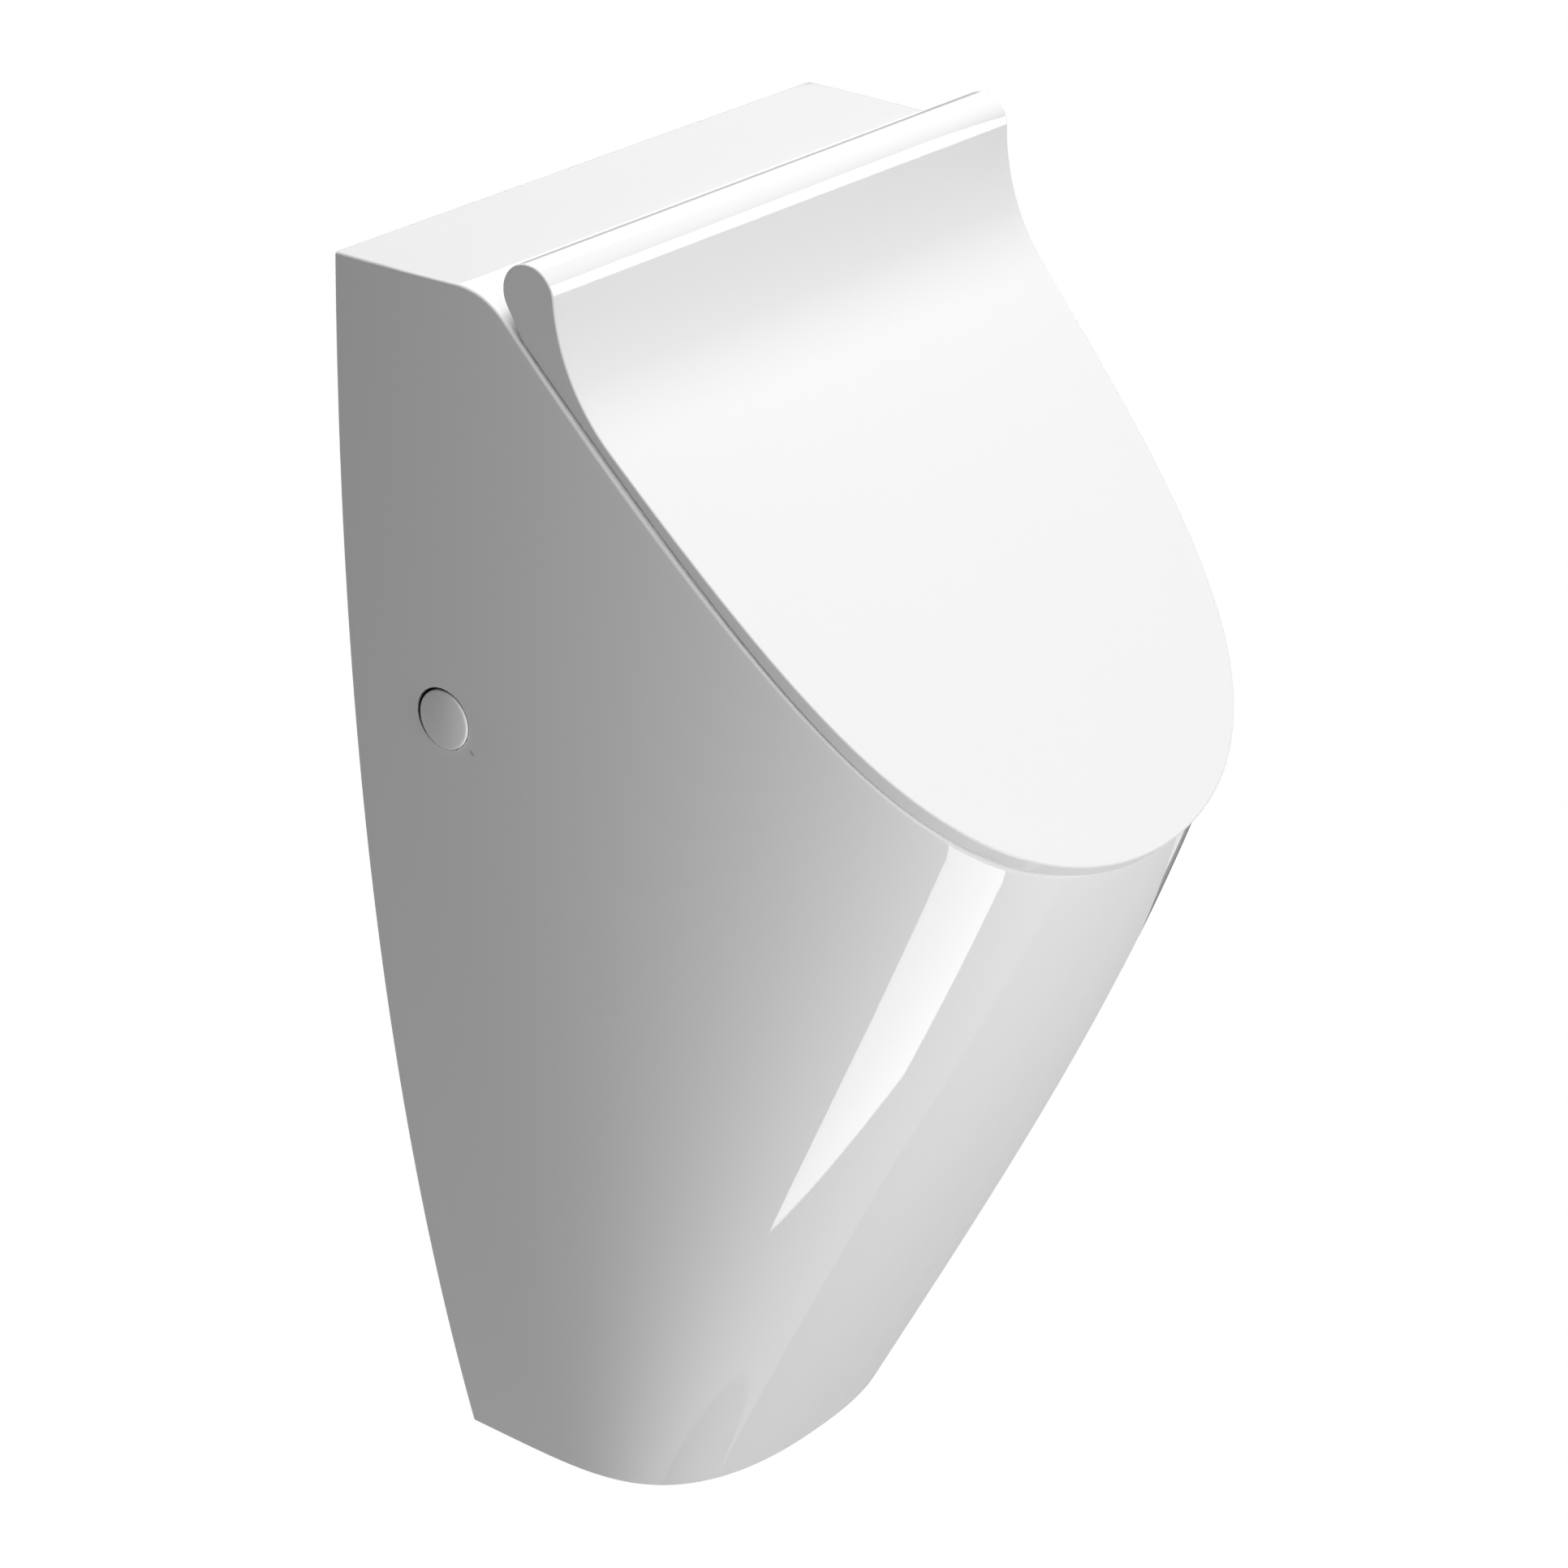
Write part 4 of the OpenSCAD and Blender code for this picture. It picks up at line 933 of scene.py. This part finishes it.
def slot_points():
    r = math.hypot(FOOT_TOE, AXIS_ABOVE_RIM - FOOT_T) + 2 * SLOT_PLAY
    start = ARM_TURN + SLOPE_GAP
    end = start + LID_OPEN + TURN_PLAY
    k = ARM_T / 2 + SLOT_PLAY
    lean = math.asin(k / r)
    toe = math.atan2(AXIS_ABOVE_RIM - FOOT_T - UNDER_PLAY, FOOT_TOE) + SLOPE_GAP - TURN_PLAY
    first, last = min(start - lean, toe), end + lean
    arc = [(r * math.cos(a), -r * math.sin(a))
           for a in [first + (last - first) * n / SLOT_STEPS for n in range(SLOT_STEPS + 1)]]
    return [(k * math.sin(start), k * math.cos(start))] + arc + [(-k * math.sin(end), -k * math.cos(end))]


print("a slot sweeps", round(math.degrees(LID_OPEN)), "degrees in", len(slot_points()), "corners")

# %% Cut the underside
DAMPER_R = 0.009
DAMPER_L = 0.055
DAMPER_PLAY = 0.00005
SPACER_L = 0.014
CHANNEL_PAST = 0.001
CHANNEL_LIP = DAMPER_R - 0.0008
CHANNEL_FOOT = -0.02
BUSH_R = 0.006
BUSH_PLAY = 0.00003
BUSH_ROOM_L = 0.01315
DAMPER_START = POST_X - POST_W / 2 - SLOT_PLAY
CHANNEL_END = DAMPER_START - DAMPER_L - SPACER_L - SLOT_PLAY
PLATE_T = 0.005
POCKET_FOOT = -0.03
POCKET_WALL = 0.018
POCKET_STEPS = 32

for side in (-1, 1):
    post_from, post_to = side * POST_X - HALF_POST, side * POST_X + HALF_POST
    channel_from, channel_to = side * CHANNEL_END, side * (DAMPER_START + CHANNEL_PAST)
    cut(lid, prism("slot", slot_points(), post_from, post_to))
    cut(lid, x_bar("eye_room", EYE_R + 2 * SLOT_PLAY, post_from, post_to))
    cut(lid, x_bar("channel", DAMPER_R + DAMPER_PLAY, channel_from, channel_to))
    cut(lid, prism("channel_mouth", [(-CHANNEL_LIP, 0), (-CHANNEL_LIP, CHANNEL_FOOT),
                                     (CHANNEL_LIP, CHANNEL_FOOT), (CHANNEL_LIP, 0)],
                   channel_from, channel_to))
    cut(lid, x_bar("bush_room", BUSH_R + BUSH_PLAY, side * (POST_X + HALF_POST - CHANNEL_PAST),
                   side * (POST_X + HALF_POST + BUSH_ROOM_L)))
pocket = outline(LID_TIP / 3, POCKET_STEPS, inset=POCKET_WALL)
pocket += [(-x, a) for x, a in reversed(pocket[:-1])]
cut(lid, between("pocket", *[[(x, -a, h) for x, a in pocket]
                             for h in (-FACE_DROP - PLATE_T, POCKET_FOOT)]))
print("pocket of", len(pocket), "corners; lid:", len(lid.data.polygons), "faces")

# %% Lid in its place
at_lid = Matrix.Translation(HINGE) @ Matrix.Rotation(LID_SLOPE, 4, "X")
lid.data.transform(at_lid)
finish_shading(lid, 30)
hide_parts("lid_cover")
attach(lid, "lid")
print("lid's roll is at", [round(c, 4) for c in HINGE])

# %% [markdown]
# The cap over a side hole is a small disc with a low dome. It is turned on a lathe in effect: a
# circle whose rings are extruded and put along the rounded rim and the dome. It has a little play
# in its hole and sits low and forward in it, so the joint is widest behind and above. The second
# cap is the first one's mirror image, with a mesh of its own.

# %% Caps
CAP_R = HOLE_R - 0.0006
CAP_T = 0.0075
CAP_BACK_R = CAP_R - 0.0016
CAP_EDGE_R = 0.0006
CAP_DOME = 0.0019
CAP_RIM_X = HALF_W - CAP_DOME
CAP_PLAY = 0.0004
CAP_Y, CAP_Z = HOLE_Y - CAP_PLAY, -CAP_PLAY
CAP_SIDES = 64
DOME_RINGS = 12


def cap_profile():
    """Rings of the cap from its back to the dome's middle, as (radius, x)."""
    ball = (CAP_R ** 2 + CAP_DOME ** 2) / (2 * CAP_DOME)
    profile = [(CAP_BACK_R, CAP_RIM_X - CAP_T), (CAP_R, CAP_RIM_X - CAP_T)]
    for a in [math.radians(degrees) for degrees in (0, 22, 45, 67)]:
        profile.append((CAP_R - CAP_EDGE_R * (1 - math.cos(a)),
                        CAP_RIM_X - CAP_EDGE_R + CAP_EDGE_R * math.sin(a)))
    for k in range(DOME_RINGS, 0, -1):
        r = (CAP_R - CAP_EDGE_R) * k / DOME_RINGS
        profile.append((r, CAP_RIM_X + math.sqrt(ball ** 2 - r ** 2) - ball + CAP_DOME))
    return profile


def turned_cap(name, profile):
    """A cap on the left side, from rings about its own axis along X."""
    deselect()
    bpy.ops.mesh.primitive_circle_add(vertices=CAP_SIDES, radius=1, fill_type="NOTHING",
                                      location=(0, CAP_Y, CAP_Z), rotation=(0, math.pi / 2, 0))
    piece = bpy.context.object
    piece.name = name
    bpy.ops.object.transform_apply(location=True, rotation=True, scale=True)
    bm = open_edit(piece, "EDGE")
    bpy.ops.mesh.select_all(action="SELECT")
    for n, (radius, x) in enumerate(profile):
        if n:
            bpy.ops.mesh.extrude_edges_move()
        for v in [v for v in bm.verts if v.select]:
            out = Vector((v.co.y - CAP_Y, v.co.z - CAP_Z)).normalized() * radius
            v.co = Vector((-x, CAP_Y + out.x, CAP_Z + out.y))
    bpy.ops.mesh.edge_face_add()
    bmesh.update_edit_mesh(piece.data)
    close_edit()
    back_x = -profile[0][1]
    fill_borders(piece, [lambda p: near(p.x, back_x)])
    return piece


def mirrored(name, piece):
    twin = piece.copy()
    twin.data = piece.data.copy()
    twin.name = name
    bpy.context.scene.collection.objects.link(twin)
    twin.data.transform(Matrix.Scale(-1, 4, (1, 0, 0)))
    outwards(twin)
    return twin


cap_left = turned_cap("cap_left", cap_profile())
cap_right = mirrored("cap_right", cap_left)
for cap, node in ((cap_left, "hole_cap_left"), (cap_right, "hole_cap_right")):
    finish_shading(cap, 40)
    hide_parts(node)
    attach(cap, "urinal")
    print(cap.name, len(cap.data.polygons), "faces")

# %% [markdown]
# Every surface here was poured, moulded or turned, so none is perfectly flat or of one tone. One
# node group gives all of them that: a slow cloud of noise that bends the surface a little and
# hands its pattern on, so that colour and gloss can drift with it. Metals and plain plastics need
# no more than that, a base colour, a roughness and, for metal, the metallic setting.

# %% Slow waviness and plain finishes
def new_material(name):
    material = bpy.data.materials.new(name)
    material.use_nodes = True
    tree = material.node_tree
    return material, tree, tree.nodes["Principled BSDF"]


def waviness_group():
    group = bpy.data.node_groups.new("slow waviness", "ShaderNodeTree")
    for name, way, kind in (("Scale", "INPUT", "Float"), ("Height", "INPUT", "Float"),
                            ("Normal", "OUTPUT", "Vector"), ("Cloud", "OUTPUT", "Float")):
        group.interface.new_socket(name, in_out=way, socket_type="NodeSocket" + kind)
    inward = group.nodes.new("NodeGroupInput")
    outward = group.nodes.new("NodeGroupOutput")
    place = group.nodes.new("ShaderNodeTexCoord")
    noise = group.nodes.new("ShaderNodeTexNoise")
    noise.inputs["Detail"].default_value = 1.5
    bump = group.nodes.new("ShaderNodeBump")
    bump.inputs["Strength"].default_value = 1.0
    group.links.new(place.outputs["Object"], noise.inputs["Vector"])
    group.links.new(inward.outputs["Scale"], noise.inputs["Scale"])
    group.links.new(noise.outputs["Fac"], bump.inputs["Height"])
    group.links.new(inward.outputs["Height"], bump.inputs["Distance"])
    group.links.new(bump.outputs["Normal"], outward.inputs["Normal"])
    group.links.new(noise.outputs["Fac"], outward.inputs["Cloud"])
    return group


waviness = waviness_group()


def blend(tree, kind, a, b, factor):
    """A mix node. Its a and b are values or sockets, and its factor is a socket."""
    mix = tree.nodes.new("ShaderNodeMix")
    mix.data_type = kind
    for name, value in (("A", a), ("B", b), ("Factor", factor)):
        if isinstance(value, bpy.types.NodeSocket):
            tree.links.new(value, mix.inputs[name])
        else:
            mix.inputs[name].default_value = value
    return mix.outputs["Result"]


def wavy(name, colour, other_colour, scale, height):
    """A material that drifts between two colours; returns it with its shader and the cloud."""
    material, tree, shader = new_material(name)
    wave = tree.nodes.new("ShaderNodeGroup")
    wave.node_tree = waviness
    wave.inputs["Scale"].default_value = scale
    wave.inputs["Height"].default_value = height
    cloud = wave.outputs["Cloud"]
    tint = blend(tree, "RGBA", (*colour, 1), (*other_colour, 1), cloud)
    tree.links.new(tint, shader.inputs["Base Color"])
    tree.links.new(wave.outputs["Normal"], shader.inputs["Normal"])
    return material, shader, cloud


def plain(name, colour, roughness, metallic=0.0, scale=120, height=0.00002):
    material, shader, cloud = wavy(name, colour, [c * 0.9 for c in colour], scale, height)
    shader.inputs["Roughness"].default_value = roughness
    shader.inputs["Metallic"].default_value = metallic
    return material


finishes = {
    "buffer_rubber": plain("buffer rubber", (0.75, 0.75, 0.73), 0.6),
    "seal_rubber": plain("seal rubber", (0.03, 0.03, 0.03), 0.6),
    "stainless": plain("stainless steel", (0.6, 0.6, 0.6), 0.3, 1.0),
    "zinc_plated": plain("zinc plate", (0.6, 0.62, 0.64), 0.4, 1.0),
    "chrome_plated": plain("chrome", (0.8, 0.8, 0.8), 0.08, 1.0),
    "brass": plain("brass", (0.72, 0.52, 0.25), 0.3, 1.0),
    "damper_grey": plain("damper plastic", (0.1, 0.1, 0.105), 0.45),
    "natural_plastic": plain("natural plastic", (0.8, 0.8, 0.76), 0.45),
    "pipe_white": plain("pipe plastic", (0.85, 0.85, 0.84), 0.3),
}
print("plain finishes:", len(finishes))

# %% [markdown]
# The glaze is a thin glass over white china, so its gloss has the index of glass and is almost a
# mirror. Its hue drifts by less than a hundredth. In the hollow the clay is bare: warmer, dull and
# speckled. The lid and the caps are plastic, a touch whiter than the china.

# %% Glazed and moulded whites
ROUGHNESS_DRIFT = 0.2
SPECKLE_SCALE = 900
CLAY = (0.82, 0.79, 0.73)
CLAY_SPECKLE = (0.72, 0.68, 0.61)
CLAY_ROUGHNESS = 0.75
# Near-black colour painted on the hole's wall round each cap, as painted shade in the joint.
PAINTED_SHADE_COLOUR = (0.09, 0.085, 0.08)


def glossy_white(name, colour, roughness, scale, height, ior):
    warmer = (colour[0] * 0.992, colour[1] * 0.995, colour[2])
    material, shader, cloud = wavy(name, colour, warmer, scale, height)
    tree = material.node_tree
    ramp = tree.nodes.new("ShaderNodeMapRange")
    ramp.inputs["To Min"].default_value = roughness * (1 - ROUGHNESS_DRIFT)
    ramp.inputs["To Max"].default_value = roughness * (1 + ROUGHNESS_DRIFT)
    tree.links.new(cloud, ramp.inputs["Value"])
    tree.links.new(ramp.outputs["Result"], shader.inputs["Roughness"])
    shader.inputs["IOR"].default_value = ior
    return material


def face_note(tree, name):
    note = tree.nodes.new("ShaderNodeAttribute")
    note.attribute_name = name
    return note.outputs["Fac"]


def glazed_china():
    """White glaze, with unglazed china in the hollow and painted shade in the joint round each cap."""
    material = glossy_white("glazed china", (0.92, 0.92, 0.915), 0.04, 9, 0.00001, 1.5)
    tree = material.node_tree
    shader = tree.nodes["Principled BSDF"]
    glaze_colour = shader.inputs["Base Color"].links[0].from_socket
    glaze_rough = shader.inputs["Roughness"].links[0].from_socket
    place = tree.nodes.new("ShaderNodeTexCoord")
    speckle = tree.nodes.new("ShaderNodeTexNoise")
    speckle.inputs["Scale"].default_value = SPECKLE_SCALE
    tree.links.new(place.outputs["Object"], speckle.inputs["Vector"])
    clay = blend(tree, "RGBA", (*CLAY, 1), (*CLAY_SPECKLE, 1), speckle.outputs["Fac"])
    colour = blend(tree, "RGBA", glaze_colour, clay, face_note(tree, "bare"))
    # The joint round each cap is painted near black here: painted shade, not the china's own colour.
    shaded = blend(tree, "RGBA", colour, (*PAINTED_SHADE_COLOUR, 1), face_note(tree, "painted_joint_shade"))
    rough = blend(tree, "FLOAT", glaze_rough, CLAY_ROUGHNESS, face_note(tree, "bare"))
    tree.links.new(shaded, shader.inputs["Base Color"])
    tree.links.new(rough, shader.inputs["Roughness"])
    return material


finishes["china"] = glazed_china()
finishes["lid_white"] = glossy_white("lid plastic", (0.94, 0.94, 0.935), 0.035, 14, 0.00002, 1.5)
finishes["cap_white"] = glossy_white("cap plastic", (0.96, 0.96, 0.95), 0.35, 40, 0.00002, 1.48)
print("finishes:", len(finishes))

# %% Dress every piece
slot_of = {entry["node"]: entry["material_slot"] for entry in frame["record"]["subparts"]}


def dress(piece, slot):
    piece.data.materials.clear()
    piece.data.materials.append(finishes[slot])


for name, node in nodes.items():
    dress(node, slot_of[name])
for piece, slot in ((china, "china"), (lid, "lid_white"), (cap_left, "cap_white"),
                    (cap_right, "cap_white")):
    dress(piece, slot)
print("dressed:", len(nodes), "pieces")

# %% [markdown]
# The photograph was taken from the front left and above, with a long lens. The camera's place and
# turn come from fitting the object's corners to the photograph.

# %% Camera
PHOTO_SIZE = 1932
FOCAL_PX = 5430.08
CENTRE_PX = 969
SENSOR = 36
CAMERA_PLACE = (-1.462425, -1.315043, 0.836537)
azimuth, elevation = math.radians(-50.762), math.radians(25.767)
back = Vector((math.sin(azimuth) * math.cos(elevation), -math.cos(azimuth) * math.cos(elevation),
               math.sin(elevation)))
right = Vector((math.cos(azimuth), math.sin(azimuth), 0))
up = back.cross(right)
lens = bpy.data.cameras.new("camera")
lens.sensor_width = SENSOR
lens.lens = SENSOR * FOCAL_PX / PHOTO_SIZE
lens.shift_x = (PHOTO_SIZE / 2 - CENTRE_PX) / PHOTO_SIZE
camera = bpy.data.objects.new("camera", lens)
camera.matrix_world = Matrix([(*row, 0) for row in (right, up, back)] + [(*CAMERA_PLACE, 1)]).transposed()
bpy.context.scene.collection.objects.link(camera)
bpy.context.scene.camera = camera
print("lens", round(lens.lens, 2), "mm")

# %% [markdown]
# The piece hangs on a wall, so its floor is far below and out of the picture. The surround looks
# white to the camera, in a mirror and through anything clear, but it gives the surfaces only a
# weak, even light. The lamps do the rest.

# %% Floor and white surround
FLOOR_BELOW = 0.9
FLOOR_R = 0.25
FLOOR_Y = -0.15
SURROUND_LIGHT = 0.1

deselect()
bpy.ops.mesh.primitive_circle_add(vertices=64, radius=FLOOR_R, fill_type="NGON",
                                  location=(0, FLOOR_Y, LOW_Z - FLOOR_BELOW))
floor = bpy.context.object
floor.name = "floor"
bpy.ops.object.transform_apply(location=True, rotation=True, scale=True)
floor_material, tree, shader = new_material("floor")
shader.inputs["Base Color"].default_value = (0.9, 0.9, 0.9, 1)
shader.inputs["Roughness"].default_value = 0.9
floor.data.materials.append(floor_material)

world = bpy.data.worlds.new("surround")
bpy.context.scene.world = world
world.use_nodes = True
tree = world.node_tree
light = tree.nodes["Background"]
light.inputs["Strength"].default_value = SURROUND_LIGHT
white = tree.nodes.new("ShaderNodeBackground")
white.inputs["Strength"].default_value = 1.0
for background in (light, white):
    background.inputs["Color"].default_value = (1, 1, 1, 1)
path = tree.nodes.new("ShaderNodeLightPath")
shows_white = path.outputs["Is Camera Ray"]
for ray in ("Is Glossy Ray", "Is Transmission Ray"):
    either = tree.nodes.new("ShaderNodeMath")
    either.operation = "MAXIMUM"
    tree.links.new(shows_white, either.inputs[0])
    tree.links.new(path.outputs[ray], either.inputs[1])
    shows_white = either.outputs[0]
choose = tree.nodes.new("ShaderNodeMixShader")
tree.links.new(shows_white, choose.inputs["Fac"])
tree.links.new(light.outputs["Background"], choose.inputs[1])
tree.links.new(white.outputs["Background"], choose.inputs[2])
tree.links.new(choose.outputs["Shader"], tree.nodes["World Output"].inputs["Surface"])
print("floor is", FLOOR_BELOW, "m below the china")

# %% [markdown]
# What lights the glaze and what it mirrors are set apart here. Three soft lamps light it, from
# above, from behind and from the front, and no mirror shows them. What it mirrors are flat cards
# that only reflections see: white ones for the streak down the front and for the bright top and
# lid, and dark ones, which a studio calls flags, for the thin grey lines along the outline. A
# card's light can rise or fall over its length, so that a reflection fades as on the photograph.

# %% Lamps
LAMPS = {
    "overhead": ((0.45, 0.0, 2.45), (0, -0.15, 0), (1.4, 1.4), 48),
    "back": ((0, 3.2, 0.1), (0, -0.1, -0.1), (1.6, 1.6), 50),
    "front": ((-0.68, -2.535, -0.32), (0, -0.15, 0), (1.2, 1.2), 41.5),
}


def lamp(name, place, target, size, power):
    """A rectangular lamp that no mirror shows."""
    data = bpy.data.lights.new(name, "AREA")
    data.shape = "RECTANGLE"
    data.size, data.size_y = size
    data.energy = power
    obj = bpy.data.objects.new(name, data)
    obj.location = place
    aim = Vector(target) - Vector(place)
    obj.rotation_euler = aim.to_track_quat("-Z", "Y").to_euler()
    obj.visible_glossy = False
    bpy.context.scene.collection.objects.link(obj)
    return obj


for name, settings in LAMPS.items():
    lamp(name, *settings)
print("lamps:", len(bpy.data.lights))

# %% Cards and flags
CARDS = {
    "streak card": ([(-0.40, -0.444, -1.15), (-0.122, -0.754, -1.15), (-0.23, -1.35, -1.15),
                     (-1.13, -1.45, -1.15)], 5.9, (0, 0, 0)),
    "wall card": ([(-0.4, 0.02, 0.27), (1.6, 0.02, 0.27), (1.6, 0.02, 1.2), (-0.4, 0.02, 1.2)],
                  3.2, (0, 0, 0)),
    "ceiling card": ([(-0.4, 0.02, 1.2), (4.5, 0.02, 1.2), (4.5, -3.3, 1.2), (-0.4, -3.3, 1.2)],
                     2.1, (0, 0.42, 0)),
    "far flag": ([(2, 0.3, -1.7), (2, 3.2, -1.7), (2, 3.2, 0.87), (2, 0.3, 0.87)], 0.1, (0, 0, 0)),
    "side flag": ([(0.8, -1.3, -0.6), (0.8, 0.5, -0.6), (0.8, 0.5, -3.2), (0.8, -1.3, -3.2)],
                  0.7, (0, -0.08, 0.06)),
}
DIMMEST = 0.15


def card(name, corners, strength, fade):
    """A flat card, seen only in reflections; its light changes by fade with each metre."""
    mesh = bpy.data.meshes.new(name)
    mesh.from_pydata(corners, [], [list(range(len(corners)))])
    obj = bpy.data.objects.new(name, mesh)
    bpy.context.scene.collection.objects.link(obj)
    material, tree, shader = new_material(name)
    tree.nodes.remove(shader)
    place = tree.nodes.new("ShaderNodeTexCoord")
    slope = tree.nodes.new("ShaderNodeVectorMath")
    slope.operation = "DOT_PRODUCT"
    slope.inputs[1].default_value = fade
    level = tree.nodes.new("ShaderNodeMath")
    level.operation = "ADD"
    level.inputs[1].default_value = strength
    least = tree.nodes.new("ShaderNodeMath")
    least.operation = "MAXIMUM"
    least.inputs[1].default_value = min(strength, DIMMEST)
    glow = tree.nodes.new("ShaderNodeEmission")
    tree.links.new(place.outputs["Object"], slope.inputs[0])
    tree.links.new(slope.outputs["Value"], level.inputs[0])
    tree.links.new(level.outputs[0], least.inputs[0])
    tree.links.new(least.outputs[0], glow.inputs["Strength"])
    tree.links.new(glow.outputs["Emission"], tree.nodes["Material Output"].inputs["Surface"])
    mesh.materials.append(material)
    for ray in ("camera", "diffuse", "transmission", "volume_scatter", "shadow"):
        setattr(obj, "visible_" + ray, False)
    return obj


for name, settings in CARDS.items():
    card(name, *settings)
print("cards and flags:", len(CARDS))

# %% [markdown]
# One band of light lies along the lower front of the lid's roll. It comes from a lamp that only
# reflections see. It stands square on the closed lid, a hand's breadth from the roll, and shines
# up the lid's slope, because there a mirror on the roll looks back at it.

# %% Band of light on the roll
BAND_SIZE = (0.36, 0.09)
BAND_POWER = 0.51
BAND_PLACE = (0.035, -0.03, 0.072)
BAND_TILT = math.radians(1.43)

band = lamp("roll band", (0, 0, 0), (0, 1, 0), BAND_SIZE, BAND_POWER)
band.visible_glossy = True
band.visible_diffuse = False
band.visible_camera = False
band.matrix_world = (at_lid @ Matrix.Translation(BAND_PLACE) @ Matrix.Rotation(BAND_TILT, 4, "Y")
                     @ Matrix.Rotation(math.radians(90), 4, "X"))
print("band shines along", [round(c, 2) for c in band.matrix_world.to_quaternion() @ Vector((0, 0, -1))])

# %% [markdown]
# Last, the colours are shown as they are. The dressed pieces have to stay inside the box of the
# imported ones.

# %% Colours as they are
bpy.context.scene.view_settings.view_transform = "Standard"
